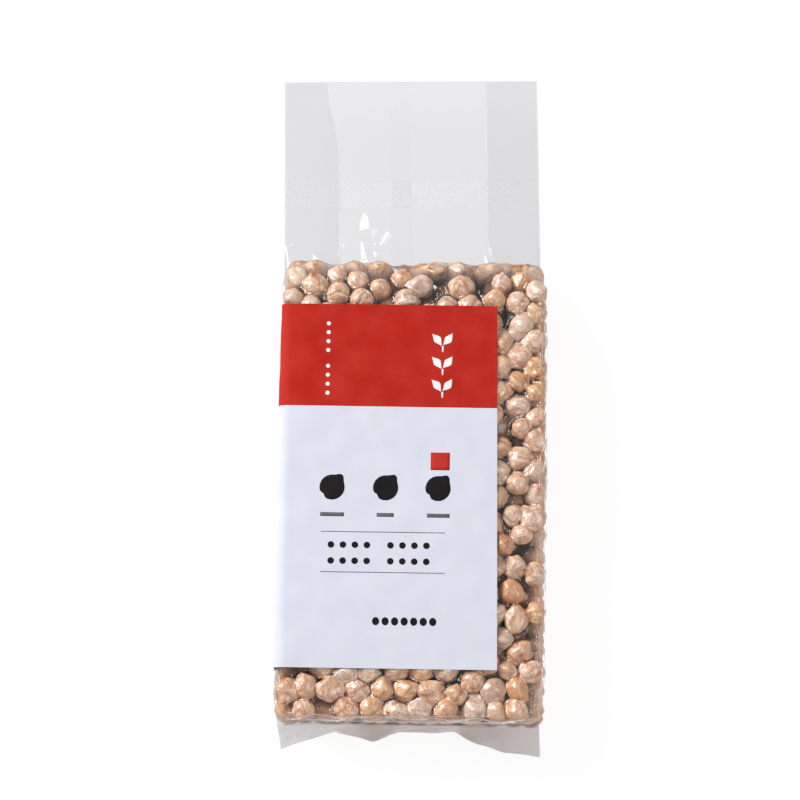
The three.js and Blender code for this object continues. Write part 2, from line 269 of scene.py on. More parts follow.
@dataclass(frozen=True)
class BrickForm:
    """The rounded block that the peas' crowns touch. Its upper end closes in towards the flat film."""

    low: tuple[float, float, float] = (-51.2 * MM, -122.4 * MM, 0.6 * MM)
    high: tuple[float, float, float] = (51.4 * MM, 58 * MM, 39.4 * MM)
    edge_radius: float = 3.5 * MM
    corner_power: float = 3.0
    shoulder_start: float = 41 * MM
    end_share: float = 0.34
    side_tuck: float = 0.031

    def core(self, points: np.ndarray, inset: float = 0.0) -> np.ndarray:
        """Moves points into the inner box that the rounding is measured from."""
        step = self.edge_radius + inset
        return np.clip(points, np.array(self.low) + step, np.array(self.high) - step)

    def middle(self) -> np.ndarray:
        """Gives the block's middle."""
        return (np.array(self.low) + np.array(self.high)) / 2

    def size(self) -> np.ndarray:
        """Gives the block's width, length and thickness."""
        return np.array(self.high) - np.array(self.low)

    def _beyond(self, points: np.ndarray) -> np.ndarray:
        """Gives how far points lie beyond the inner box, along each axis."""
        return np.abs(points - self.middle()) - (self.size() / 2 - self.edge_radius)

    def outward(self, points: np.ndarray) -> np.ndarray:
        """Gives the block's unit outward direction, which inside is that of the nearest side.

        Args:
            points: The points.

        Returns:
            One direction for each point.
        """
        way = points - self.core(points)
        far = np.linalg.norm(way, axis=1)[:, None]
        nearest = np.eye(3)[self._beyond(points).argmax(axis=1)] * np.sign(points - self.middle())
        return np.where(far < TINY, nearest, way / np.maximum(far, TINY))

    def onto(self, points: np.ndarray) -> np.ndarray:
        """Moves points onto the rounded skin."""
        return self.core(points) + self.outward(points) * self.edge_radius

    def depth(self, points: np.ndarray) -> np.ndarray:
        """Gives how far below the skin points lie.

        Args:
            points: The points.

        Returns:
            The depths, above 0 inside the block.
        """
        q = self._beyond(points)
        outside = np.linalg.norm(np.maximum(q, 0), axis=1)
        return self.edge_radius - outside - np.minimum(q.max(axis=1), 0)

    def _closing(self, points: np.ndarray) -> tuple[np.ndarray, np.ndarray]:
        """Gives how far the upper end has closed in at points.

        Args:
            points: The points.

        Returns:
            The shares of thickness and of width that are left.
        """
        t = np.clip((points[:, 1] - self.shoulder_start) / (self.high[1] - self.shoulder_start), 0, 1.2)
        return 1 - (1 - self.end_share) * t * t, 1 - self.side_tuck * t * t

    def _corner(self, points: np.ndarray) -> tuple[np.ndarray, np.ndarray]:
        """Gives how far the squarer upright corners stretch, and the middle that they stretch from.

        Args:
            points: The points.

        Returns:
            The stretches, 1 away from the corners, and the middles.
        """
        core = self.core(points)
        x, y = np.abs(points - core)[:, :2].T + 1e-12
        power = self.corner_power
        return np.hypot(x, y) / (x**power + y**power) ** (1 / power), core

    def _stretched(self, points: np.ndarray, inwards: bool) -> np.ndarray:
        """Stretches the upright corners outwards, or takes them back.

        Args:
            points: The points.
            inwards: Whether they are taken back.

        Returns:
            The moved points.
        """
        stretch, core = self._corner(points)
        amount = (1 / stretch if inwards else stretch)[:, None]
        plan = core[:, :2] + (points - core)[:, :2] * amount
        return np.concatenate([plan, points[:, 2:]], 1)

    def close_in(self, points: np.ndarray) -> np.ndarray:
        """Takes points of the plain block to the block with its shoulder and corners.

        Args:
            points: The points of the plain block.

        Returns:
            The same points on the shaped block.
        """
        points = self._stretched(points, False)
        thick, wide = self._closing(points)
        height = MID_HEIGHT + (points[:, 2] - MID_HEIGHT) * thick
        return np.stack([points[:, 0] * wide, points[:, 1], height], 1)

    def open_out(self, points: np.ndarray) -> np.ndarray:
        """Takes points of the block with its shoulder and corners back to the plain block.

        Args:
            points: The points of the shaped block.

        Returns:
            The same points on the plain block.
        """
        thick, wide = self._closing(points)
        height = MID_HEIGHT + (points[:, 2] - MID_HEIGHT) / thick
        return self._stretched(np.stack([points[:, 0] / wide, points[:, 1], height], 1), True)

    def wall(self, points: np.ndarray) -> tuple[np.ndarray, np.ndarray]:
        """Finds the skin of the block with its shoulder, as seen from points in it.

        Args:
            points: The points.

        Returns:
            The unit outward directions, and the distances to the skin, above 0 inside.
        """
        plain = self.open_out(points)
        thick, wide = self._closing(points)
        slope = self.outward(plain) / np.stack([wide, np.ones_like(wide), thick], 1)
        steep = np.linalg.norm(slope, axis=1)
        return slope / steep[:, None], self.depth(plain) / steep * self._corner(plain)[0]


@dataclass(frozen=True)
class LabelForm:
    """The label's outline and the way it bends round the pack's left side."""

    right: float = 32.3 * MM
    bottom: float = -102.7 * MM
    top: float = 37.3 * MM
    left: float = -51.8 * MM
    face: float = 40 * MM
    corner: float = 4.1 * MM
    slant: float = 0.0075
    band_bottom: float = -2.6 * MM

    def covers(self, points: np.ndarray, margin: float) -> np.ndarray:
        """Tells which points lie under the label by more than a margin.

        Args:
            points: The points.
            margin: How far inside the label's edge they have to lie.

        Returns:
            True for each point under the label.
        """
        inside = points[:, 0] < self.right - margin
        return inside & (points[:, 1] > self.bottom + margin) & (points[:, 1] < self.top - margin)

    def lengths(self) -> list[float]:
        """Gives the lengths along the paper.

        Returns:
            Those of the front, the corner, the side, the other corner and the back.
        """
        flat = self.right - self.left - self.corner
        arc = self.corner * math.pi / 2
        return [flat, arc, self.face - 2 * self.corner, arc, flat]

    def bend(self, run: np.ndarray) -> tuple[np.ndarray, np.ndarray]:
        """Gives where a run along the paper lies, from the front's right edge round to the back's.

        Args:
            run: Lengths along the paper.

        Returns:
            The points as rows of X and Z, and the outward directions there.
        """
        flat, arc, side, _, _ = self.lengths()
        inner = self.left + self.corner
        turn = np.clip((run - flat) / arc, 0, 1) + np.clip((run - flat - arc - side) / arc, 0, 1)
        angle = turn * math.pi / 2
        out = np.stack([-np.sin(angle), np.cos(angle)], 1)
        front = np.clip(flat - run, 0, None)
        down = np.clip(run - flat - arc, 0, side)
        back = np.clip(run - flat - 2 * arc - side, 0, None)
        hub = np.stack([inner + front + back, self.face - self.corner - down], 1)
        return hub + out * self.corner, out


class NodeBench:
    """Adds nodes to one node tree."""

    def __init__(self, tree: bpy.types.NodeTree) -> None:
        """Starts with a tree."""
        self.tree = tree

    def add(self, kind: str, values: dict | None = None, **settings: object) -> bpy.types.Node:
        """Adds a node.

        Args:
            kind: The node's type without its ShaderNode beginning.
            values: Its input sockets, by name or number: a socket of another node, or a plain value.
            settings: Its own properties.

        Returns:
            The node.
        """
        node = self.tree.nodes.new("ShaderNode" + kind)
        for key, value in settings.items():
            setattr(node, key, value)
        for key, value in (values or {}).items():
            if isinstance(value, bpy.types.NodeSocket):
                self.tree.links.new(value, node.inputs[key])
            else:
                node.inputs[key].default_value = value
        return node

    def group(self, tree: bpy.types.NodeTree, values: dict) -> bpy.types.NodeSocket:
        """Adds a shared effect and gives its result."""
        return self.add("Group", values, node_tree=tree).outputs[0]

    def mark(self, name: str, output: str = "Fac") -> bpy.types.NodeSocket:
        """Reads an attribute of the piece."""
        return self.add("Attribute", attribute_name=name).outputs[output]

    def mix_colour(self, amount: object, first: object, second: object) -> bpy.types.NodeSocket:
        """Adds a colour mix and gives its result."""
        return self.add("Mix", {0: amount, 6: first, 7: second}, data_type="RGBA").outputs[2]

    def sum_up(self, operation: str, *terms: object) -> bpy.types.NodeSocket:
        """Adds a sum and gives its result."""
        return self.add("Math", dict(enumerate(terms)), operation=operation).outputs[0]


class PaintBench(NodeBench):
    """Makes one material and adds nodes to it."""

    def __init__(self, name: str) -> None:
        """Starts a material that holds only its output.

        Args:
            name: The material's name.
        """
        self.material = bpy.data.materials.new(name)
        self.material.use_nodes = True
        super().__init__(self.material.node_tree)
        self.tree.nodes.clear()
        self.output = self.add("OutputMaterial")

    def finish(self, shader: bpy.types.NodeSocket) -> bpy.types.Material:
        """Joins the shader to the output and gives the material."""
        self.tree.links.new(shader, self.output.inputs["Surface"])
        return self.material


class EffectBench(NodeBench):
    """Makes one shared node group with named values that go in and one that comes out."""

    def __init__(self, name: str, values: dict[str, float], result: str) -> None:
        """Starts the group with its sockets.

        Args:
            name: The group's name.
            values: Each input number's name and first value. A place goes in besides.
            result: The name of the value that comes out.
        """
        super().__init__(bpy.data.node_groups.new(name, "ShaderNodeTree"))
        sockets = self.tree.interface
        sockets.new_socket("Place", in_out="INPUT", socket_type="NodeSocketVector")
        for title, value in values.items():
            socket = sockets.new_socket(title, in_out="INPUT", socket_type="NodeSocketFloat")
            socket.default_value = value
        sockets.new_socket(result, in_out="OUTPUT", socket_type="NodeSocketFloat")
        self.given = self.tree.nodes.new("NodeGroupInput").outputs
        self.output = self.tree.nodes.new("NodeGroupOutput")

    def finish(self, value: bpy.types.NodeSocket) -> bpy.types.NodeTree:
        """Joins a value to the group's output and gives the group."""
        self.tree.links.new(value, self.output.inputs[0])
        return self.tree


class SharedEffects:
    """The node groups that more than one finish uses."""

    def __init__(self) -> None:
        """Builds each group once."""
        self.mottle = self._mottle()
        self.creases = self._creases()

    def _mottle(self) -> bpy.types.NodeTree:
        """Makes soft random patches.

        Returns:
            The group, which gives a value from 0 to 1.
        """
        bench = EffectBench("mottle", {"Scale": 100.0, "Low": 0.4, "High": 0.6}, "Patches")
        given = bench.given
        noise = bench.add("TexNoise", {"Vector": given["Place"], "Scale": given["Scale"], "Detail": 3})
        limits = {"Value": noise.outputs["Fac"], "From Min": given["Low"], "From Max": given["High"]}
        return bench.finish(bench.add("MapRange", limits).outputs["Result"])

    def _creases(self) -> bpy.types.NodeTree:
        """Makes fine creases, with sharp ridges where two patches of noise meet.

        Returns:
            The group, which gives a height from 0 to 1.
        """
        bench = EffectBench("creases", {"Scale": 250.0, "Sharpness": 6.0}, "Height")
        place, scale = bench.given["Place"], bench.given["Scale"]
        noise = bench.add("TexNoise", {"Vector": place, "Scale": scale, "Detail": 2, "Distortion": 0.6})
        away = bench.sum_up("ABSOLUTE", bench.sum_up("SUBTRACT", noise.outputs["Fac"], 0.5))
        steep = bench.sum_up("MULTIPLY", away, bench.given["Sharpness"])
        crest = bench.add("Math", {0: 1, 1: steep}, operation="SUBTRACT", use_clamp=True)
        return bench.finish(crest.outputs[0])


@dataclass(frozen=True)
class PeaFinish:
    """The dry, matt skin of a chickpea, lighter on its ridges and browner in its folds, with painted shade
    that darkens it deep inside the pack.

    Attributes:
        name: The material's name.
        light: The skin's lightest colour.
        dark: Its darker patches.
        fold: The colour in its folds.
        painted_shade_share: How much of the painted shade it takes on deep inside the pack.
        painted_shade_colour: The painted shade's colour, dark as the peas where little light reaches.
    """

    name: str
    light: Colour
    dark: Colour
    fold: Colour
    painted_shade_share: float = 0.7
    painted_shade_colour: Colour = linear(96, 50, 30)

    def _colour(
        self, bench: PaintBench, effects: SharedEffects, wrinkles: bpy.types.NodeSocket
    ) -> bpy.types.NodeSocket:
        """Mixes the skin's colour.

        Args:
            bench: The material's bench.
            effects: The shared node groups.
            wrinkles: The skin's fine wrinkles.

        Returns:
            The colour's socket.
        """
        place = bench.mark("pea_place", "Vector")
        patches = bench.group(effects.mottle, {"Place": place, "Scale": 1.3, "Low": 0.38, "High": 0.66})
        freckles = bench.group(effects.mottle, {"Place": place, "Scale": 6.0, "Low": 0.45, "High": 0.75})
        colour = bench.mix_colour(
            bench.sum_up("MULTIPLY_ADD", patches, 0.5, bench.mark("pea_tone")), self.light, self.dark
        )
        steps = (
            (bench.mark("pea_relief"), 1.0, self.fold),
            (freckles, 0.24, self.fold),
            (wrinkles, 0.2, self.fold),
            # Painted shade: the skin darkens towards the dark colour the deeper it lies in the pack.
            (bench.mark("pea_depth_shade"), self.painted_shade_share, self.painted_shade_colour),
        )
        for mask, share, shade in steps:
            colour = bench.mix_colour(bench.sum_up("MULTIPLY", mask, share), colour, shade)
        return colour

    def build(self, effects: SharedEffects) -> bpy.types.Material:
        """Makes the material.

        Args:
            effects: The shared node groups.

        Returns:
            The material.
        """
        bench = PaintBench(self.name)
        place = bench.mark("pea_place", "Vector")
        wrinkles = bench.group(effects.creases, {"Place": place, "Scale": 1.5, "Sharpness": 9.0})
        grain = bench.group(effects.mottle, {"Place": place, "Scale": 7.0, "Low": 0.2, "High": 0.8})
        rough = bench.sum_up("MULTIPLY_ADD", wrinkles, -0.8, grain)
        bump = bench.add("Bump", {"Height": rough, "Strength": 0.75, "Distance": 0.35 * MM})
        values = {
            "Base Color": self._colour(bench, effects, wrinkles),
            "Roughness": 0.6,
            "Specular IOR Level": 0.3,
            "Normal": bump.outputs["Normal"],
        }
        return bench.finish(bench.add("BsdfPrincipled", values).outputs[0])


@dataclass(frozen=True)
class FilmFinish:
    """Clear film: see-through, with its reflections and a little milkiness.

    Attributes:
        name: The material's name.
        tint: What the film lets through.
        shade: The darker colour it lets through where painted shade is marked on it, or nothing for the tint
            alone.
        reflect: How much it reflects when looked at squarely.
        haze: How milky it is.
        roughness: How blurred its reflections are.
        crease_scale: Creases in a metre.
        crease_depth: How strong the creases are.
        most: The most that it hides of what lies behind it.
        emboss_scale: How close the embossed ribs of its sealed band lie.
        emboss_milk: How milky the ribs are.
        wrinkle_scale: Fine wrinkles in a metre.
        wrinkle_share: How strong the fine wrinkles are beside the creases.
    """

    name: str
    tint: Colour = (0.97, 0.97, 0.98, 1)
    shade: Colour | None = None
    reflect: float = 0.05
    haze: float = 0.04
    roughness: float = 0.09
    crease_scale: float = 220.0
    crease_depth: float = 0.3
    most: float = 0.5
    emboss_scale: float = 270.0
    emboss_milk: float = 0.09
    wrinkle_scale: float = 620.0
    wrinkle_share: float = 0.3
    GLOSS: ClassVar[Colour] = (0.95, 0.95, 0.96, 1)
    MILK: ClassVar[Colour] = (0.93, 0.93, 0.95, 1)

    def build(self, effects: SharedEffects) -> bpy.types.Material:
        """Makes the material.

        Args:
            effects: The shared node groups.

        Returns:
            The material.
        """
        bench = PaintBench(self.name)
        place = bench.add("TexCoord").outputs["Object"]
        slack = bench.mark("film_slack")
        embossed = self._ribs(bench, place)
        normal = self._normal(bench, effects, place, slack, embossed)
        edge_on = bench.add("Fresnel", {"IOR": 1.5, "Normal": normal}).outputs[0]
        seen = bench.sum_up("MINIMUM", bench.sum_up("ADD", edge_on, self.reflect), self.most)
        through = self.tint
        # Painted shade: where the film is marked shaded, what shows through it darkens towards the shade
        # colour.
        if self.shade is not None:
            through = bench.mix_colour(bench.mark("film_shade"), self.tint, self.shade)
        clear = bench.add("BsdfTransparent", {"Color": through})
        gloss = {"Base Color": self.GLOSS, "Metallic": 1.0, "Roughness": self.roughness, "Normal": normal}
        shine = bench.add("BsdfPrincipled", gloss)
        veil = bench.add("BsdfPrincipled", {"Base Color": self.MILK, "Roughness": 0.6, "Normal": normal})
        milk = bench.sum_up("MULTIPLY_ADD", slack, self.haze, self.haze / 2)
        milk = bench.sum_up("MULTIPLY_ADD", embossed, self.emboss_milk, milk)
        milk = bench.sum_up("MULTIPLY_ADD", bench.mark("film_seal"), self.emboss_milk / 2, milk)
        glossy = bench.add("MixShader", {0: seen, 1: clear.outputs[0], 2: shine.outputs[0]})
        mixed = bench.add("MixShader", {0: milk, 1: glossy.outputs[0], 2: veil.outputs[0]})
        return bench.finish(mixed.outputs[0])

    def _ribs(self, bench: PaintBench, place: bpy.types.NodeSocket) -> bpy.types.NodeSocket:
        """Draws the embossed ribs of the sealed band.

        Args:
            bench: The material's bench.
            place: The place on the piece.

        Returns:
            The height of the ribs from 0 to 1.
        """
        turned = bench.add("Mapping", {"Vector": place, "Scale": (-1, 1, 1)}).outputs[0]
        values = {"Vector": turned, "Scale": self.emboss_scale}
        ribs = bench.add("TexWave", values, bands_direction="DIAGONAL")
        return bench.sum_up("MULTIPLY", ribs.outputs["Fac"], bench.mark("film_ribs"))

    def _normal(
        self,
        bench: PaintBench,
        effects: SharedEffects,
        place: bpy.types.NodeSocket,
        slack: bpy.types.NodeSocket,
        embossed: bpy.types.NodeSocket,
    ) -> bpy.types.NodeSocket:
        """Bends the surface by its creases, fine wrinkles and ribs.

        Args:
            bench: The material's bench.
            effects: The shared node groups.
            place: The place on the piece.
            slack: How loose the film is.
            embossed: The height of the ribs.

        Returns:
            The normal.
        """
        creases = bench.group(effects.creases, {"Place": place, "Scale": self.crease_scale, "Sharpness": 7.0})
        finer = {"Place": place, "Scale": self.wrinkle_scale, "Sharpness": 4.0}
        wrinkles = bench.group(effects.creases, finer)
        loose = bench.sum_up("MULTIPLY_ADD", slack, 0.6, 0.4)
        fine = bench.sum_up("MULTIPLY", wrinkles, self.wrinkle_share)
        height = bench.sum_up("MULTIPLY_ADD", creases, loose, fine)
        bump = bench.add("Bump", {"Height": height, "Strength": self.crease_depth, "Distance": 0.5 * MM})
        bent = bump.outputs["Normal"]
        values = {"Height": embossed, "Strength": 0.1, "Distance": 0.3 * MM, "Normal": bent}
        return bench.add("Bump", values).outputs["Normal"]


@dataclass(frozen=True)
class PaperFinish:
    """Matt coated paper of one colour with soft, slightly lighter patches over it, and a faint sheen that
    follows its unevenness.
    """

    name: str
    colour: Colour
    patch_colour: Colour

    def build(self, effects: SharedEffects) -> bpy.types.Material:
        """Makes the material.

        Args:
            effects: The shared node groups.

        Returns:
            The material.
        """
        bench = PaintBench(self.name)
        place = bench.add("TexCoord").outputs["Object"]
        # The second colour shows in soft, slightly lighter clouds over the paper.
        clouds = bench.group(effects.mottle, {"Place": place, "Scale": 95.0, "Low": 0.35, "High": 0.7})
        fibre = bench.group(effects.mottle, {"Place": place, "Scale": 1600.0, "Low": 0.3, "High": 0.7})
        bump = bench.add("Bump", {"Height": fibre, "Strength": 0.12, "Distance": 0.05 * MM})
        values = {
            "Base Color": bench.mix_colour(clouds, self.colour, self.patch_colour),
            "Roughness": 0.65,
            "Specular IOR Level": 0.12,
            "Normal": bump.outputs["Normal"],
        }
        return bench.finish(bench.add("BsdfPrincipled", values).outputs[0])


@dataclass(frozen=True)
class FloorFinish:
    """The plain pale floor, lit a little from below as a light table is."""

    name: str = "pale_floor"
    colour: Colour = (0.18, 0.18, 0.182, 1)
    glow: float = 0.88

    def build(self) -> bpy.types.Material:
        """Makes the material.

        Returns:
            The material.
        """
        bench = PaintBench(self.name)
        values = {
            "Base Color": self.colour,
            "Roughness": 0.9,
            "Specular IOR Level": 0.1,
            "Emission Color": WHITE,
            "Emission Strength": self.glow,
        }
        return bench.finish(bench.add("BsdfPrincipled", values).outputs[0])


class PeaShape:
    """One chickpea at unit size: two wrinkled lobes with a groove between them, and a bent beak."""

    BEAK_BEND = (0.15, 0.4)
    BEAK_HEIGHT = (0.22, 0.42)
    BEAK_SPREAD = (0.24, 0.34)
    NECK_DEPTH, NECK_PLACE, NECK_SPREAD = 0.08, 0.62, 0.2
    CHEEKS = 0.1
    GROOVE_SPREAD = (0.11, 0.19)
    GROOVE_DEPTH = (0.03, 0.15)
    LUMP_LENGTH, LUMP_HEIGHT = (1.4, 2.2), 0.065
    FOLD_LENGTH, FOLD_DEPTH, FOLD_WIDTH = (0.8, 1.15), (0.02, 0.085), 0.62
    GRAIN_LENGTH, GRAIN_HEIGHT = (0.34, 0.46), 0.009
    BROWN_GROOVE, BROWN_FOLD, BROWN_GRAIN, BROWN_BEAK = 0.4, 5.0, 0.1, 0.7
    FLAT_PLACES = 6
    FLAT_DEPTH = 0.24
    FLAT_START = (0.74, 0.9)
    LEAST_STRETCH = (0.86, 0.88, 0.94)
    MOST_STRETCH = (1.06, 1.12, 1.16)

    def __init__(self, seed: int, subdivisions: int) -> None:
        """Shapes the pea from a ball.

        Args:
            seed: Chooses its lumps.
            subdivisions: How finely the ball is divided.
        """
        bm = bmesh.new()
        bmesh.ops.create_icosphere(bm, subdivisions=subdivisions, radius=1)
        ways = coordinates(bm.verts)
        rng = np.random.default_rng(seed)
        size, self.relief = self._profile(ways, rng)
        stretch = rng.uniform(self.LEAST_STRETCH, self.MOST_STRETCH)
        self.points = self._pressed(ways * size[:, None] * stretch, rng)
        self.points /= np.cbrt(np.mean(np.linalg.norm(self.points, axis=1) ** 3))
        for vertex, point in zip(bm.verts, self.points):
            vertex.co = point
        self.mesh = bpy.data.meshes.new("pea_shape")
        bm.to_mesh(self.mesh)
        bm.free()

    def _pressed(self, points: np.ndarray, rng: np.random.Generator) -> np.ndarray:
        """Flattens the pea where it grew against the others in its pod and against its own skin.

        Args:
            points: The pea's points.
            rng: The pea's random numbers.

        Returns:
            The points with soft flat places.
        """
        for _ in range(self.FLAT_PLACES):
            way = rng.normal(size=3)
            way /= np.linalg.norm(way)
            over = smooth_step(0, 0.4, points @ way - rng.uniform(*self.FLAT_START)) * self.FLAT_DEPTH
            points = points - over[:, None] * way
        return points

    def _profile(self, ways: np.ndarray, rng: np.random.Generator) -> tuple[np.ndarray, np.ndarray]:
        """Works out how far each point of the ball stands out, and how deep in a fold it lies.

        Args:
            ways: Unit directions.
            rng: The pea's random numbers.

        Returns:
            The distances from the middle, and the fold depths from 0 to 1.
        """
        beak_way = np.array([rng.uniform(*self.BEAK_BEND), 0, 1])
        beak_way /= np.linalg.norm(beak_way)
        angle = np.arccos(np.clip(ways @ beak_way, -1, 1))
        beak = rng.uniform(*self.BEAK_HEIGHT) * np.exp(-((angle / rng.uniform(*self.BEAK_SPREAD)) ** 2))
        neck = self.NECK_DEPTH * np.exp(-(((angle - self.NECK_PLACE) / self.NECK_SPREAD) ** 2))
        back = smooth_step(-0.45, 0.4, -ways[:, 0] + 0.25 * ways[:, 2])
        bend = ways[:, 1] + 0.08 * np.sin(3 * ways[:, 2] + rng.uniform(0, 6))
        groove = np.exp(-((bend / rng.uniform(*self.GROOVE_SPREAD)) ** 2)) * back
        lumps = Ripples(rng.uniform(*self.LUMP_LENGTH), int(rng.integers(1e6)), 7).at(ways)
        coarse = Ripples(rng.uniform(*self.FOLD_LENGTH), int(rng.integers(1e6)), 9).at(ways * [1, 1, 0.55])
        fine = Ripples(rng.uniform(*self.GRAIN_LENGTH), int(rng.integers(1e6)), 14).at(ways * [1, 1, 0.7])
        folds = 1 - smooth_step(0, self.FOLD_WIDTH, np.abs(coarse))
        wrinkled = rng.uniform(*self.FOLD_DEPTH)
        size = 1 + beak - neck + self.CHEEKS * np.abs(ways[:, 1]) + self.LUMP_HEIGHT * lumps
        size += self.GRAIN_HEIGHT * fine
        size -= rng.uniform(*self.GROOVE_DEPTH) * groove + wrinkled * folds
        relief = self.BROWN_GROOVE * groove + self.BROWN_FOLD * wrinkled * folds + self.BROWN_GRAIN * fine
        relief += self.BROWN_BEAK * (beak / np.mean(self.BEAK_HEIGHT)) ** 2
        return size, np.clip(relief, 0, 1)


class PeaKind(Enum):
    """The tones that the peas come in, each with its share of the heap."""

    PALE = ("pea_pale", 0.34)
    TAN = ("pea_tan", 0.34)
    AMBER = ("pea_amber", 0.14)
    DUSTY = ("pea_dusty", 0.18)


@dataclass
class PeaHeap:
    """The peas against the film and those just behind them, over a dark core whose colour is painted shade.
    """

    form: BrickForm
    label: LabelForm
    mean_radius: float = 4.75 * MM
    size_spread: float = 0.085
    size_limits: tuple[float, float] = (0.84, 1.16)
    shape_count: int = 26
    front_height: float = 30.5 * MM
    crown_depth: float = 0.62 * MM
    second_depth: tuple[float, float] = (8 * MM, 16 * MM)
    second_count: int = 380
    core_inset: float = 15 * MM
    # Painted shade: the depths below the pack's skin over which the peas darken.
    painted_shade_depth: tuple[float, float] = (2.2 * MM, 8.5 * MM)
    settling_rounds: int = 110
    seating_rounds: int = 7
    closest: float = 0.82
    most_beak_out: float = 0.5
    crown_margin: float = 4.5 * MM
    crown_spacing: float = 3 * MM
    behind_margin: float = 12 * MM
    core_rounding: float = 3 * MM
    fin_zone: tuple[float, float] = (-121.4 * MM, 0.9 * MM)
    centres: np.ndarray = field(init=False)
    radii: np.ndarray = field(init=False)
    outer_count: int = field(init=False)

    def settle(self) -> None:
        """Sets every pea in its place: the first layer under the solid's own crowns, the second behind it."""
        rng = np.random.default_rng(SEED)
        crowns, ways = self._crowns()
        radii = self._sizes(rng, len(crowns))
        first = crowns - ways * radii[:, None]
        second = self._behind(rng)
        self.outer_count = len(first)
        self.centres = np.concatenate([first, second])
        self.radii = np.concatenate([radii, self._sizes(rng, len(second))])
        self._relax(first.copy())
        self._drop_crowded()

    def _sizes(self, rng: np.random.Generator, count: int) -> np.ndarray:
        """Draws pea radii."""
        return self.mean_radius * np.clip(rng.normal(1, self.size_spread, count), *self.size_limits)

    def _crowns(self) -> tuple[np.ndarray, np.ndarray]:
        """Finds the peas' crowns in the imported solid.

        Returns:
            The crowns, and the outward directions there.
        """
        points = np.unique(vertex_places(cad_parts["filled_bag"]).round(6), axis=0)
        plain = self.form.open_out(points)
        below = self.form.depth(plain)
        bare = ~self.label.covers(plain, self.crown_margin)
        crown = (below > -0.05 * MM) & (below < self.crown_depth) & bare
        lowest, thickness = self.fin_zone
        fin = (points[:, 1] < lowest) & (np.abs(points[:, 2] - MID_HEIGHT) < thickness)
        plain = plain[crown & ~fin]
        apart = [0]
        for i in range(1, len(plain)):
            if np.linalg.norm(plain[apart] - plain[i], axis=1).min() > self.crown_spacing:
                apart.append(i)
        skin = self.form.close_in(plain[apart])
        skin = skin[np.argsort(-skin[:, 2], kind="stable")]
        return skin, self.form.wall(skin)[0]

    def _behind(self, rng: np.random.Generator) -> np.ndarray:
        """Draws the places of the second layer, where the film above it is bare.

        Args:
            rng: Draws the places.

        Returns:
            The places.
        """
        found: list[np.ndarray] = []
        while len(found) < self.second_count:
            row = (np.array(self.form.low) + rng.random(3) * self.form.size())[None]
            deep = self.form.depth(row)[0]
            hidden = self.label.covers(row, self.behind_margin)[0]
            if self.second_depth[0] < deep < self.second_depth[1] and not hidden:
                found.append(self.form.close_in(row)[0])
        return np.array(found)

    def _relax(self, anchors: np.ndarray) -> None:
        """Pushes overlapping peas apart while the first layer holds to the film.

        Args:
            anchors: Where the first layer's peas hold to it.
        """
        for _ in range(self.settling_rounds):
            gap = self.centres[:, None] - self.centres[None]
            far = np.linalg.norm(gap, axis=2)
            np.fill_diagonal(far, 1)
            lap = np.clip(0.985 * (self.radii[:, None] + self.radii[None]) - far, 0, None)
            self.centres += 0.3 * np.einsum("ijk,ij->ik", gap, lap / far)
            first = self.centres[: self.outer_count]
            first += 0.1 * (anchors - first)
            ways, room = self.form.wall(self.centres)
            self.centres -= ways * np.clip(self.radii - room, 0, None)[:, None]

    def _drop_crowded(self) -> None:
        """Leaves out peas that still sit too deep in another."""
        gap = np.linalg.norm(self.centres[:, None] - self.centres[None], axis=2)
        np.fill_diagonal(gap, 1)
        close = gap < self.closest * (self.radii[:, None] + self.radii[None])
        keep = np.ones(len(self.centres), bool)
        for i in range(len(keep)):
            keep[i] = not np.any(close[i, :i] & keep[:i])
        self.outer_count = int(keep[: self.outer_count].sum())
        self.centres, self.radii = self.centres[keep], self.radii[keep]

    def _turns(self, rng: np.random.Generator) -> list[np.ndarray]:
        """Draws how each pea lies. No beak points straight at the film.

        Args:
            rng: Draws the turns.

        Returns:
            A matrix for each pea.
        """
        turns = []
        for way in self.form.wall(self.centres)[0]:
            beak_out = 1.0
            while beak_out > self.most_beak_out:
                turn = np.array(Quaternion(rng.normal(size=4)).normalized().to_matrix())
                beak_out = turn[:, 2] @ way
            turns.append(turn)
        return turns

    def _seat(self, turns: list[np.ndarray], shapes: list[PeaShape]) -> None:
        """Moves each pea in or out until it just touches the film, or clears it if it is one behind.

        Args:
            turns: How each pea lies.
            shapes: The shape of each pea.
        """
        ways = self.form.wall(self.centres)[0]
        for i, (turn, shape) in enumerate(zip(turns, shapes)):
            own = shape.points @ turn.T * self.radii[i]
            for _ in range(self.seating_rounds):
                outward, room = self.form.wall(own + self.centres[i])
                nearest = room.argmin()
                if room[nearest] < 0:
                    self.centres[i] += outward[nearest] * room[nearest]
                elif i < self.outer_count:
                    self.centres[i] += 0.8 * ways[i] * room[nearest]

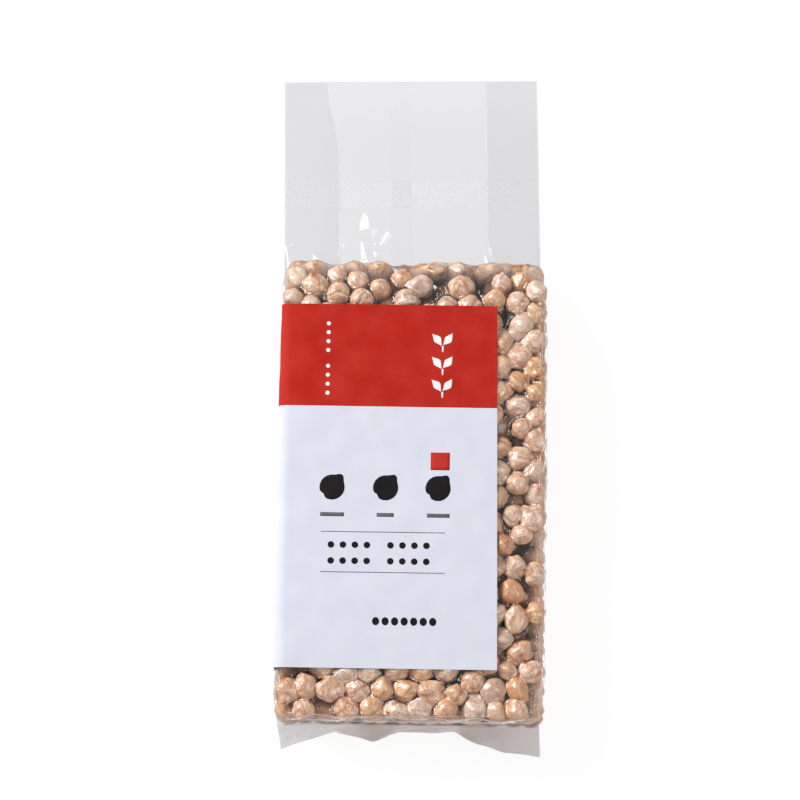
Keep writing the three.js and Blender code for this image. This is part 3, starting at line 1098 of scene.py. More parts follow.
    def build(
        self, finishes: dict[PeaKind, bpy.types.Material], shaded: bpy.types.Material
    ) -> list[bpy.types.Object]:
        """Makes two joined meshes for each tone, and one for the peas behind.

        Args:
            finishes: The material of each tone.
            shaded: The material of the peas behind, a darker copy of the pea finish that paints their shade.

        Returns:
            The new pieces, the first layer's tones first.
        """
        rng = np.random.default_rng(SEED + 1)
        turns = self._turns(rng)
        shares = np.cumsum([kind.value[1] for kind in PeaKind])
        tones = np.searchsorted(shares, rng.random(len(self.centres)) * shares[-1])
        seeds = [int(s) for s in rng.integers(1e6, size=self.shape_count)]
        fine, plain, coarse = ([PeaShape(s, level) for s in seeds] for level in (5, 4, 3))
        picks = rng.integers(self.shape_count, size=len(self.centres))
        self._seat(turns, [coarse[p] for p in picks])
        outer = np.arange(len(self.centres)) < self.outer_count
        front = outer & (self.centres[:, 2] > self.front_height)
        pieces = []
        for number, kind in enumerate(PeaKind):
            for suffix, group, shapes in (("front", front, fine), ("round", outer & ~front, plain)):
                chosen = np.flatnonzero(group & (tones == number))
                name = f"{kind.value[0]}_{suffix}"
                pieces.append(self._join(name, chosen, turns, [shapes[p] for p in picks[chosen]], rng))
                pieces[-1].data.materials.append(finishes[kind])
        chosen = np.flatnonzero(~outer)
        pieces.append(self._join("peas_behind", chosen, turns, [coarse[p] for p in picks[chosen]], rng))
        pieces[-1].data.materials.append(shaded)
        return pieces

    def _join(
        self,
        name: str,
        chosen: np.ndarray,
        turns: list[np.ndarray],
        shapes: list[PeaShape],
        rng: np.random.Generator,
    ) -> bpy.types.Object:
        """Joins copies of pea shapes into one mesh.

        Args:
            name: The piece's name.
            chosen: Which peas to make.
            turns: How each pea lies.
            shapes: The shape of each chosen pea.
            rng: Draws each pea's own tone.

        Returns:
            The joined piece.
        """
        bm = bmesh.new()
        for i, shape in zip(chosen, shapes):
            one = shape.mesh.copy()
            sized = Matrix((turns[i] * self.radii[i]).tolist()).to_4x4()
            one.transform(Matrix.Translation(self.centres[i]) @ sized)
            bm.from_mesh(one)
            bpy.data.meshes.remove(one)
        made = object_from(name, bm)
        shifts = rng.uniform(-20, 20, (len(shapes), 3))
        mark_points(made, "pea_place", np.concatenate([s.points + shift for s, shift in zip(shapes, shifts)]))
        own = np.repeat(rng.uniform(-0.3, 0.4, len(shapes)), len(shapes[0].points))
        mark_points(made, "pea_tone", own)
        mark_points(made, "pea_relief", np.concatenate([s.relief for s in shapes]))
        # Painted shade: each point's share of the dark colour, from how deep below the pack's skin it lies.
        room = self.form.wall(vertex_places(made))[1]
        mark_points(made, "pea_depth_shade", smooth_step(*self.painted_shade_depth, room))
        return made

    def build_core(self, material: bpy.types.Material) -> bpy.types.Object:
        """Makes the dark block behind the second layer of peas, whose dark colour is painted shade standing
        in for the unlit peas further in.

        Args:
            material: Its finish.

        Returns:
            The block.
        """
        bm = box_of(self.form.size() - 2 * self.core_inset, self.form.middle())
        bmesh.ops.bevel(
            bm,
            geom=bm.edges[:],
            offset=self.core_rounding,
            offset_type="OFFSET",
            segments=3,
            profile=0.5,
            affect="EDGES",
            material=-1,
        )
        core = object_from("heap_core", bm)
        core.data.materials.append(material)
        return core


@dataclass
class VacuumFilm:
    """The film that the vacuum draws down between the peas."""

    form: BrickForm
    label: LabelForm
    spacing: float = 0.8 * MM
    suction: float = 0.2 * MM
    edge_share: float = 0.06
    side_share: float = 0.07
    deepest: float = 4.2 * MM
    clearance: float = 0.07 * MM
    rounds: int = 260
    crease_height: float = 0.25 * MM
    ray_start: float = 4 * MM
    ray_end: float = 9 * MM
    under_label: tuple[float, float] = (0.25 * MM, 0.5 * MM)
    label_margins: tuple[float, float] = (1 * MM, 2 * MM)
    loose_gap: tuple[float, float] = (0.05 * MM, 1.2 * MM)
    shaded_tilt: tuple[float, float] = (0.35, 0.8)
    crease_length: float = 5.5 * MM
    crease_sharpness: float = 3.2

    def build(self, peas: list[bpy.types.Object], material: bpy.types.Material) -> bpy.types.Object:
        """Makes the film over the peas.

        Args:
            peas: The pieces that the film lies on.
            material: The film's finish.

        Returns:
            The film.
        """
        bm = self._block()
        bm.verts.ensure_lookup_table()
        plain = self.form.onto(coordinates(bm.verts))
        skin = self.form.close_in(plain)
        ways = self.form.wall(skin)[0]
        floor = self._floor(skin, ways, plain, peas)
        edges = np.array([[e.verts[0].index, e.verts[1].index] for e in bm.edges])
        depth = self._draw_down(floor, edges, self._suction_at(plain))
        slack = smooth_step(*self.loose_gap, floor - depth)
        slack[self.label.covers(plain, self.label_margins[1])] = 0
        depth -= self._creases(plain, slack)
        placed = skin - ways * depth[:, None]
        for vertex, point in zip(bm.verts, placed):
            vertex.co = point
        bmesh.ops.recalc_face_normals(bm, faces=bm.faces[:])
        film = object_from("vacuum_film", bm)
        # Painted shade: the film darkens and browns as it turns from the front to the pack's sides.
        aside = 1 - smooth_step(*self.shaded_tilt, np.abs(self.form.outward(plain)[:, 2]))
        mark_film(film, slack, shaded=aside)
        film.data.materials.append(material)
        return film

    def _block(self) -> bmesh.types.BMesh:
        """Makes a box of the block's size, divided evenly on all its faces.

        Returns:
            The divided box.
        """
        bm = box_of(self.form.size(), self.form.middle())
        for axis, length in enumerate(self.form.size()):
            split_along(bm, bm.edges[:], axis, round(length / self.spacing))
        return bm

    def _floor(
        self, skin: np.ndarray, ways: np.ndarray, plain: np.ndarray, peas: list[bpy.types.Object]
    ) -> np.ndarray:
        """Finds how far in the film could go at each place before it meets a pea.

        Args:
            skin: Points on the block.
            ways: The outward directions there.
            plain: The same points before the shoulder closes in.
            peas: The pieces that the film lies on.

        Returns:
            Depths below the block's skin.
        """
        reach = self.ray_start
        floor = np.full(len(skin), self.ray_end)
        graph = bpy.context.evaluated_depsgraph_get()
        starts = skin + ways * reach
        for piece in peas:
            tree = BVHTree.FromObject(piece, graph)
            for i, (start, way) in enumerate(zip(starts.tolist(), (-ways).tolist())):
                hit = tree.ray_cast(start, way, floor[i] + reach)[3]
                if hit is not None:
                    floor[i] = min(floor[i], hit - reach)
        covered = self.label.covers(plain, self.label_margins[0])
        floor[covered] = np.clip(floor[covered], *self.under_label)
        return floor - self.clearance

    def _suction_at(self, plain: np.ndarray) -> np.ndarray:
        """Gives the suction, weaker where the tight tube bridges the pack's edges and sides.

        Args:
            plain: Points on the plain block.

        Returns:
            How strongly the film is drawn at each point.
        """
        way = np.abs(self.form.outward(plain))
        flat = smooth_step(0.9, 1, way.max(axis=1))
        share = np.where(way[:, 2] > 0.7, 1.0, self.side_share)
        return self.suction * (self.edge_share + (share - self.edge_share) * flat)

    def _draw_down(self, floor: np.ndarray, edges: np.ndarray, suction: np.ndarray) -> np.ndarray:
        """Draws the film in under suction until its pull and the peas hold it.

        Args:
            floor: How far in the film can go.
            edges: Pairs of neighbouring points.
            suction: How strongly each point is drawn.

        Returns:
            The film's depth at each point.
        """
        depth = np.minimum(floor, 0.5 * MM)
        a, b = edges.T
        count = len(depth)
        neighbours = np.bincount(a, minlength=count) + np.bincount(b, minlength=count)
        limit = np.minimum(floor, self.deepest)
        for _ in range(self.rounds):
            pull = np.bincount(a, depth[b], count) + np.bincount(b, depth[a], count)
            depth = np.minimum(limit, pull / neighbours + suction)
        return depth

    def _creases(self, plain: np.ndarray, slack: np.ndarray) -> np.ndarray:
        """Raises fine ridges in the loose film."""
        ripple = Ripples(self.crease_length, SEED + 5).at(plain)
        return np.clip(1 - np.abs(ripple) * self.crease_sharpness, 0, 1) * slack * self.crease_height


class Rim(Enum):
    """The long rounded edges of the pack's front, each with its outward axis and side."""

    RIGHT = (0, 1)
    LEFT = (0, -1)
    BOTTOM = (1, -1)
    TOP = (1, 1)


@dataclass(frozen=True)
class Pleat:
    """One pinched crease of film along a rounded edge.

    Attributes:
        rim: The edge.
        start: Where it starts along the edge, in millimetres.
        stop: Where it stops.
        angle: How far round the edge it lies, 0 at the side and 90 at the front.
        sway: How far it wanders, in degrees.
        height: How far it stands out, in millimetres.
        seed: Chooses its wander.
    """

    rim: Rim
    start: float
    stop: float
    angle: float
    sway: float
    height: float
    seed: int


@dataclass
class FilmPleats:
    """The pinched creases along the edges, where the tube is tight over the peas."""

    form: BrickForm
    half_thickness: float = 0.09 * MM
    wavelength: float = 19 * MM
    spacing: float = 0.6
    short_count: int = 34
    pleats: tuple[Pleat, ...] = (
        Pleat(Rim.BOTTOM, -47.5, 47.5, 48, 17, 1.0, 1),
        Pleat(Rim.BOTTOM, -47, 47, 14, 12, 0.8, 2),
        Pleat(Rim.BOTTOM, -22, 31, 64, 12, 0.6, 11),
        Pleat(Rim.BOTTOM, -46, -8, 30, 14, 0.7, 21),
        Pleat(Rim.TOP, -22, -6, 66, 10, 0.7, 22),
        Pleat(Rim.TOP, 2, 17, 72, 12, 0.6, 23),
        Pleat(Rim.TOP, 25, 44, 60, 12, 0.7, 24),
        Pleat(Rim.RIGHT, -117, -52, 34, 16, 0.45, 3),
        Pleat(Rim.RIGHT, -44, 30, 22, 13, 0.4, 4),
        Pleat(Rim.LEFT, -117, -104, 46, 12, 0.9, 7),
        Pleat(Rim.LEFT, -117, -103.5, 22, 10, 0.8, 8),
        Pleat(Rim.LEFT, -116, -103.5, 34, 12, 0.7, 25),
        Pleat(Rim.LEFT, 38, 51, 50, 12, 0.8, 9),
        Pleat(Rim.LEFT, 38, 51, 22, 9, 0.6, 10),
    )

    def _short_wrinkles(self) -> list[Pleat]:
        """Draws the short wrinkles that run between the peas along the right edge.

        Returns:
            The wrinkles as pleats.
        """
        rng = np.random.default_rng(SEED + 60)
        found = []
        for number in range(self.short_count):
            start = rng.uniform(-116, 42)
            stop = start + rng.uniform(4, 12)
            height = rng.uniform(0.3, 0.6)
            found.append(Pleat(Rim.RIGHT, start, stop, rng.uniform(4, 80), 30, height, 60 + number))
        return found

    def _placer(self, pleat: Pleat) -> Placer:
        """Gives the placer of one pleat: along it, out of the film, and through its thickness.

        Args:
            pleat: The pleat.

        Returns:
            The placer.
        """
        axis, end = pleat.rim.value
        radius = self.form.edge_radius
        corner = self.form.high[axis] if end > 0 else self.form.low[axis]

        def place(u: np.ndarray, v: np.ndarray, side: np.ndarray) -> np.ndarray:
            """Places points of the pleat.

            Args:
                u: Places along it.
                v: Places out of the film.
                side: 1 on one face, -1 on the other.

            Returns:
                The points.
            """
            along = (pleat.start + u * (pleat.stop - pleat.start)) * MM
            line = np.stack([along, 0 * along, 0 * along], 1)
            wander = Ripples(self.wavelength, SEED + 40 + pleat.seed, 7).at(line)
            angle = np.radians(pleat.angle + pleat.sway * wander)
            rise = pleat.height * MM * np.sin(math.pi * u) ** 0.35 * (0.75 + 0.25 * np.cos(9 * wander))
            out = radius - 0.15 * MM + v * rise
            aside = side * self.half_thickness * (1.15 - v)
            across = corner - end * radius + end * (out * np.cos(angle) - aside * np.sin(angle))
            height = self.form.high[2] - radius + out * np.sin(angle) + aside * np.cos(angle)
            sides = (across, along) if axis == 0 else (along, across)
            return self.form.close_in(np.stack([*sides, height], 1))

        return place

    def build(self, film: bpy.types.Material) -> bpy.types.Object:
        """Makes all the pleats as one piece.

        Args:
            film: Their finish.

        Returns:
            The piece.
        """
        bm = bmesh.new()
        for pleat in (*self.pleats, *self._short_wrinkles()):
            add_sheet(bm, round((pleat.stop - pleat.start) / self.spacing), 2, self._placer(pleat))
        piece = object_from("film_pleats", bm, crisp=True)
        mark_film(piece, 1.0)
        piece.data.materials.append(film)
        return piece


@dataclass(frozen=True)
class FilmFold:
    """A fold in the flat film: a flank that rises evenly to the right, then falls back more steeply.

    Attributes:
        start: One end of its crest, across and up the flap, in millimetres.
        stop: The other end.
        width: How far the rising flank reaches at the start.
        end_width: How far it reaches at the other end.
        slope: How steeply it rises.
        back: How far the falling flank reaches, as a share of the rising one.
    """

    start: tuple[float, float]
    stop: tuple[float, float]
    width: float
    end_width: float
    slope: float = 0.45
    back: float = 0.5

    def rise(self, x: np.ndarray, y: np.ndarray) -> np.ndarray:
        """Gives the fold's rise at points.

        Args:
            x: Places across the flap.
            y: Places up the flap.

        Returns:
            The rises.
        """
        x0, y0, x1, y1 = (place * MM for place in (*self.start, *self.stop))
        dx, dy = x1 - x0, y1 - y0
        length = math.hypot(dx, dy)
        along = ((x - x0) * dx + (y - y0) * dy) / length
        aside = ((x - x0) * dy - (y - y0) * dx) / length
        share = np.clip(along / length, 0, 1)
        reach = (self.width + (self.end_width - self.width) * share) * MM
        beyond = np.clip(np.maximum(-along, along - length), 0, None)
        away = np.where(aside < 0, -aside / reach, aside / (self.back * reach))
        return self.slope * np.clip(reach * (1 - away) - 0.8 * beyond, 0, None)


@dataclass
class FilmEnd:
    """The flat, unfilled end of the film tube, with its side gussets, sealed band and back seam."""

    width: float = 100.9 * MM
    root: float = 56.2 * MM
    side_reach: float = 4.5 * MM
    pivot: float = 58 * MM
    top: float = 133.3 * MM
    lean: float = math.radians(1.2)
    root_shift: float = -1.1 * MM
    droop: float = 3 * MM
    wave: float = 0.7 * MM
    wave_across: float = 2.6
    wave_up: float = 2.0
    wave_growth: float = 1.6
    half_thickness: float = 0.36 * MM
    web_length: float = 8 * MM
    web_height: float = 2.3 * MM
    web_curve: float = 1.2
    web_fullness: float = 90
    seal: tuple[float, float] = (81.5 * MM, 91.6 * MM)
    dent_length: float = 24 * MM
    dent_depth: float = 0.3 * MM
    upper_depth: float = 0.08 * MM
    seal_soft: float = 0.8 * MM
    seal_press: float = 0.72
    gusset_folds: tuple[float, float] = (-28.2 * MM, 29.6 * MM)
    gusset_opening: float = 5.2 * MM
    gusset_opens: tuple[float, float] = (99 * MM, 138 * MM)
    seam: tuple[float, float] = (-8 * MM, 0.1 * MM)
    spacing: float = 0.6 * MM
    strong_ribs: tuple[float, float] = (-7 * MM, 27 * MM)
    rib_fade: float = 6 * MM
    weak_ribs: float = 0.25
    columns: int = 230
    gusset_columns: int = 44
    gusset_crowding: float = 1.35
    seam_columns: int = 7
    folds: tuple[FilmFold, ...] = (
        FilmFold((-35.9, 59), (-39.4, 63.4), 4.2, 0.4),
        FilmFold((-26.4, 60), (-26.6, 70), 1, 0.6, 0.375),
        FilmFold((-16.6, 57.2), (-19.6, 67.6), 4.3, 0.6, 0.4125, 0.8),
        FilmFold((-13.9, 62), (-14.1, 65.6), 2.2, 1, 0.4625, 0.7),
        FilmFold((-12.6, 64.3), (-8.6, 70.2), 0.9, 1.9, 0.425),
        FilmFold((-16.6, 72.2), (-17.2, 75.8), 4.2, 3.2, 0.45, 0.8),
        FilmFold((-17.4, 78.2), (-19.6, 79.8), 2.6, 1.4),
        FilmFold((1.5, 62), (1.5, 79.5), 0.7, 0.7, 0.35),
        FilmFold((30.1, 57.5), (28.7, 63.2), 1.9, 0.4, 0.45, 0.4),
        FilmFold((-43.4, 74.6), (-40, 75.4), 0.8, 0.8, 0.3125),
        FilmFold((10.8, 59), (9.4, 70), 0.9, 0.8, 0.2375),
        FilmFold((9.4, 70), (10.2, 80), 0.8, 0.8, 0.2375),
        FilmFold((14.7, 59), (15.6, 70), 0.8, 0.9, 0.2375),
        FilmFold((34, 68), (48, 73), 2.4, 1, 0.15),
    )
    upper_lines: tuple[FilmFold, ...] = (
        FilmFold((0.1, 109), (-0.1, 129), 0.6, 0.55, 0.25),
        FilmFold((1.3, 93), (0.1, 109), 0.7, 0.65, 0.325),
        FilmFold((30.6, 112), (33, 132), 0.55, 0.6, 0.25),
    )

    def middle(self, across: np.ndarray, y: np.ndarray) -> np.ndarray:
        """Gives the flap's middle surface.

        Args:
            across: -1 at the left edge to 1 at the right.
            y: How far up the pack, before the flap leans.

        Returns:
            The points.
        """
        t = np.clip((y - self.pivot) / (self.top - self.pivot), 0, None)
        growing = np.sin(math.pi * np.minimum(1, t * self.wave_growth))
        swell = np.sin(across * self.wave_across + t * self.wave_up) * growing
        z = MID_HEIGHT - self.droop * t * t + self.wave * swell
        x0, y0 = across * self.width / 2, y - self.pivot
        x = x0 * math.cos(self.lean) - y0 * math.sin(self.lean) + self.root_shift
        up = x0 * math.sin(self.lean) + y0 * math.cos(self.lean) + self.pivot
        return np.stack([x, up, z], 1)

    def web(self, across: np.ndarray, y: np.ndarray) -> np.ndarray:
        """Gives how far front and back film stand off the middle towards the peas.

        Args:
            across: -1 at the left edge to 1 at the right.
            y: How far up the pack.

        Returns:
            The distances from the middle.
        """
        opening = np.clip(1 - np.clip(y - self.pivot, 0, None) / self.web_length, 0, 1)
        return self.web_height * opening**self.web_curve * (1 - np.abs(across) ** self.web_fullness)

    def _in_seal(self, y: np.ndarray) -> np.ndarray:
        """Tells how far into the sealed band points lie.

        Args:
            y: How far up the pack.

        Returns:
            1 in the band, falling to 0 just outside it.
        """
        low, high = self.seal
        return smooth_step(low - self.seal_soft, low, y) * (1 - smooth_step(high, high + self.seal_soft, y))

    def _pressed(self, y: np.ndarray) -> np.ndarray:
        """Gives the share of its thickness that the end keeps, less in the sealed band."""
        return 1 - self.seal_press * self._in_seal(y)

    def _sealed_share(self, piece: bpy.types.Object) -> tuple[np.ndarray, np.ndarray]:
        """Gives how much each vertex of a piece lies in the sealed band, and how deep the ribs are there.

        Args:
            piece: The piece.

        Returns:
            The shares in the band, and the depths of the ribs from 0 to 1.
        """
        x, up = vertex_places(piece)[:, :2].T
        y = (up - self.pivot) * math.cos(self.lean) - (x - self.root_shift) * math.sin(self.lean) + self.pivot
        start, stop = self.strong_ribs
        soft = self.rib_fade
        strong = smooth_step(start - soft, start + soft, x) * (1 - smooth_step(stop - soft, stop + soft, x))
        sealed = self._in_seal(y)
        return sealed, sealed * (self.weak_ribs + (1 - self.weak_ribs) * strong)

    def _dents(self, across: np.ndarray, y: np.ndarray) -> np.ndarray:
        """Gives the soft dents in the front film between the seal and the peas, and faint waves above.

        Args:
            across: -1 at the left edge to 1 at the right.
            y: How far up the pack.

        Returns:
            The rises.
        """
        x = across * self.width / 2
        flat = np.stack([x, y, np.zeros_like(x)], 1)
        low = Ripples(self.dent_length, SEED + 8).at(flat * [1, 0.5, 1])
        below = 1 - smooth_step(self.seal[0] - 6 * MM, self.seal[0] - 1 * MM, y)
        folds = sum(fold.rise(x, y) for fold in self.folds)
        lines = sum(line.rise(x, y) for line in self.upper_lines)
        dented = (self.dent_depth * low + folds) * below
        return dented + self.upper_depth * low * (1 - below) + lines

    def _face(self, u: np.ndarray, v: np.ndarray, side: np.ndarray) -> np.ndarray:
        """Places points of the outer film.

        Args:
            u: Places across the sheet.
            v: Places up the sheet.
            side: 1 on the front film, -1 on the back film.

        Returns:
            The points.
        """
        across = 2 * u - 1
        root = self.root - self.side_reach * smooth_step(0.8, 1, np.abs(across))
        y = root + v * (self.top - root)
        points = self.middle(across, y)
        rim = smooth_step(0, 0.05, np.minimum(u, 1 - u))
        sealed = self._pressed(y)
        stand = self.half_thickness * (0.5 + 0.5 * rim) * sealed + self.web(across, y)
        points[:, 2] += side * stand + np.where(side > 0, self._dents(across, y) * rim * sealed, 0)
        return points

    def _fold_at(self, y: np.ndarray, left: bool) -> np.ndarray:
        """Gives where a gusset's inner fold runs.

        Args:
            y: How far up the pack.
            left: Whether it is the left gusset.

        Returns:
            The places, measured from the flap's middle line.
        """
        if not left:
            return np.full_like(y, self.gusset_folds[1])
        return self.gusset_folds[0] - self.gusset_opening * smooth_step(*self.gusset_opens, y)

    def _gusset(self, left: bool) -> Placer:
        """Gives the placer of one side's folded film.

        Args:
            left: Whether it is the left gusset.

        Returns:
            The placer.
        """

        def place(u: np.ndarray, v: np.ndarray, side: np.ndarray) -> np.ndarray:
            """Places points of the gusset, closest together at its edge.

            Args:
                u: Places across it.
                v: Places up it.
                side: 1 on its front, -1 on its back.

            Returns:
                The points.
            """
            y = self.root + v * (self.top - 0.4 * MM - self.root)
            fold = self._fold_at(y, left)
            edge = (-1 if left else 1) * (self.width / 2 - 0.5 * MM)
            inner = u if left else 1 - u
            x = edge + (fold - edge) * inner**self.gusset_crowding
            across = 2 * x / self.width
            points = self.middle(across, y)
            stand = (0.16 * MM + 0.8 * self.web(across, y)) * (1 - 0.7 * self._in_seal(y))
            points[:, 2] += side * stand * (1 - 0.9 * smooth_step(0.93, 1, inner))
            return points

        return place

    def _seam_place(self, u: np.ndarray, v: np.ndarray, side: np.ndarray) -> np.ndarray:
        """Places points of the lapped seam behind the back film.

        Args:
            u: Places across the seam.
            v: Places up the seam.
            side: 1 on its front, -1 on its back.

        Returns:
            The points.
        """
        y = self.root + v * (self.top - self.root)
        across = 2 * (self.seam[0] + u * (self.seam[1] - self.seam[0])) / self.width
        points = self.middle(across, y)
        back = self.half_thickness * self._pressed(y) + self.web(across, y)
        points[:, 2] -= back + 0.12 * MM - side * 0.06 * MM
        return points

    def build(
        self, film: bpy.types.Material, folded: bpy.types.Material, lapped: bpy.types.Material
    ) -> list[bpy.types.Object]:
        """Makes the outer film, the two gussets and the back seam.

        Args:
            film: The finish of the outer film.
            folded: The finish of the gussets.
            lapped: The finish of the back seam.

        Returns:
            The new pieces.
        """
        rows = round((self.top - self.root) / self.spacing)
        plans = (
            ("flap_film", self.columns, self._face, film),
            ("left_gusset", self.gusset_columns, self._gusset(True), folded),
            ("right_gusset", self.gusset_columns, self._gusset(False), folded),
            ("back_seam", self.seam_columns, self._seam_place, lapped),
        )
        pieces = []
        for name, columns, place, material in plans:
            bm = bmesh.new()
            add_sheet(bm, columns, rows, place)
            piece = object_from(name, bm, crisp="gusset" not in name)
            mark_film(piece, 1.0, *self._sealed_share(piece))
            piece.data.materials.append(material)
            pieces.append(piece)
        return pieces


@dataclass
class BottomFin:
    """The cut strip of film below the bottom seal, folded back the more, the less of it shows.

    Attributes:
        length: How long the strip is.
        root: Where it leaves the brick.
        root_depth: How far it reaches into the brick.
        half_thickness: Half its thickness.
        corners: The corners of its edge as seen from above, across and out, in millimetres.
        spread: How much narrower its root is at the left and at the right.
        bend: Where it bends back, along it.
        wave_length: The length of its waves.
        wave: Their height at its edge.
        columns: Its faces across.
        rows: Its faces along.
        shade: How much painted shade it takes at places across, in millimetres, darkest across its middle
            where it folds back under the pack.
    """

    length: float = 12.5 * MM
    root: float = -122.4 * MM
    root_depth: float = 2.5 * MM
    half_thickness: float = 0.16 * MM
    corners: tuple[tuple[float, float], ...] = (
        (-49.0, 9.4),
        (-28.4, 2.3),
        (-13.6, 6.0),
        (-3.3, 2.3),
        (18.0, 2.0),
        (26.9, 6.6),
        (36.5, 9.6),
        (50.5, 11.3),
    )
    spread: tuple[float, float] = (1.8 * MM, 0.8 * MM)
    bend: tuple[float, float] = (-0.6 * MM, 1.2 * MM)
    wave_length: float = 9 * MM
    wave: float = 0.25 * MM
    columns: int = 130
    rows: int = 14
    shade: tuple[tuple[float, float], ...] = (
        (-50, 0.0),
        (-30, 0.4),
        (-8, 0.95),
        (20, 1.0),
        (34, 0.4),
        (50, 0.28),
    )

    def _place(self, u: np.ndarray, v: np.ndarray, side: np.ndarray) -> np.ndarray:
        """Places points of the fin.

        Args:
            u: Places across it.
            v: Places along it, from its root.
            side: 1 on its front, -1 on its back.

        Returns:
            The points.
        """
        corners = np.array(self.corners) * MM
        x = corners[0, 0] + u * (corners[-1, 0] - corners[0, 0])
        left, right = self.spread
        x = x - (1 - v) * np.where(u < 0.5, left * (1 - 2 * u), right * (2 * u - 1))
        fold = np.arccos(np.interp(x, corners[:, 0], corners[:, 1]) / self.length)
        along = v * (self.length + self.root_depth) - self.root_depth
        out, inside = np.clip(along, 0, None), np.clip(along, None, 0)
        waves = Ripples(self.wave_length, SEED + 12).at(np.stack([x, along, 0 * x], 1))
        ripple = self.wave * waves * (out / self.length)
        turn = fold * smooth_step(*self.bend, along)
        lift = side * self.half_thickness + ripple
        y = self.root - inside - out * np.cos(fold) - lift * np.sin(turn)
        z = MID_HEIGHT - out * np.sin(fold) + lift * np.cos(turn)
        return np.stack([x, y, z], 1)

    def build(self, film: bpy.types.Material) -> bpy.types.Object:
        """Makes the fin.

        Args:
            film: Its finish.

        Returns:
            The fin.
        """
        bm = bmesh.new()
        add_sheet(bm, self.columns, self.rows, self._place)
        fin = object_from("bottom_fin", bm, crisp=True)
        # Painted shade: the fin darkens across it by the shade table.
        places, shares = (np.array(self.shade) * [MM, 1]).T
        mark_film(fin, 1.0, shaded=np.interp(vertex_places(fin)[:, 0], places, shares))
        fin.data.materials.append(film)
        return fin


@dataclass
class WrapLabel:
    """The printed paper: a flat sheet bent round the front, the left side and the back."""

    form: LabelForm
    thickness: float = 0.25 * MM
    spacing: float = 1.25 * MM
    bumps: float = 0.1 * MM
    sway: float = 0.12 * MM
    bump_length: float = 11 * MM
    sway_length: float = 60 * MM

    def rise(self, run: np.ndarray, y: np.ndarray) -> np.ndarray:
        """Gives how far the paper stands out over the peas beneath it.

        Args:
            run: Lengths along the paper.
            y: Heights up the pack.

        Returns:
            The rises along the outward direction.
        """
        flat = np.stack([run, y, 0 * run], 1)
        small = Ripples(self.bump_length, SEED + 15, 26).at(flat)
        large = Ripples(self.sway_length, SEED + 16, 8).at(flat)
        return np.minimum(self.bumps * small + self.sway * large - (self.bumps + self.sway), 0)

    def surface(self, run: np.ndarray, y: np.ndarray, lift: np.ndarray | float) -> np.ndarray:
        """Gives points on the paper's outer face.

        Args:
            run: Lengths along the paper.
            y: Heights up the pack.
            lift: How far above the face the points lie.

        Returns:
            The points.
        """
        xz, out = self.form.bend(run)
        xz = xz + out * (self.rise(run, y) + lift)[:, None]
        return np.stack([xz[:, 0], y, xz[:, 1]], 1)

    def run_at(self, x: np.ndarray) -> np.ndarray:
        """Gives the run along the paper of points on its front."""
        return self.form.right - x

    def _place(self, u: np.ndarray, v: np.ndarray, side: np.ndarray) -> np.ndarray:
        """Places points of the sheet, whose two right-hand edges are cut a little aslant.

        Args:
            u: Places along the paper.
            v: Places up the pack.
            side: 1 on its outer face, -1 on its inner one.

        Returns:
            The points.
        """
        total = sum(self.form.lengths())
        y = self.form.bottom + v * (self.form.top - self.form.bottom)
        cut = self.form.slant * (y - (self.form.top + self.form.bottom) / 2)
        run = cut + u * (total - 2 * cut)
        return self.surface(run, y, (side - 1) / 2 * self.thickness)

    def build(self, field_finish: bpy.types.Material, band_finish: bpy.types.Material) -> bpy.types.Object:
        """Makes the label in place of its solid.

        Args:
            field_finish: The pale field.
            band_finish: The coloured band at the top.

        Returns:
            The label.
        """
        bm = bmesh.new()
        columns = round(sum(self.form.lengths()) / self.spacing)
        add_sheet(bm, columns, round((self.form.top - self.form.bottom) / self.spacing), self._place)
        everything = bm.verts[:] + bm.edges[:] + bm.faces[:]
        border = (0, self.form.band_bottom, 0)
        bmesh.ops.bisect_plane(bm, geom=everything, plane_co=border, plane_no=(0, 1, 0))
        for face in bm.faces:
            face.material_index = int(face.calc_center_median().y > self.form.band_bottom)
        label = object_from("paper_label", bm, crisp=True)
        label.data.materials.append(field_finish)
        label.data.materials.append(band_finish)
        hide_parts("label")
        return label


class Mark(Enum):
    """The simple shapes of the print."""

    BAR = "bar"
    DOT = "dot"
    PEA = "pea"
    LEAF = "leaf"


@dataclass(frozen=True)
class PrintMark:
    """One shape of the print: its kind, its middle and its size, in millimetres on the front."""

    kind: Mark
    x: float
    y: float
    width: float
    height: float
    turn: float = 0.0


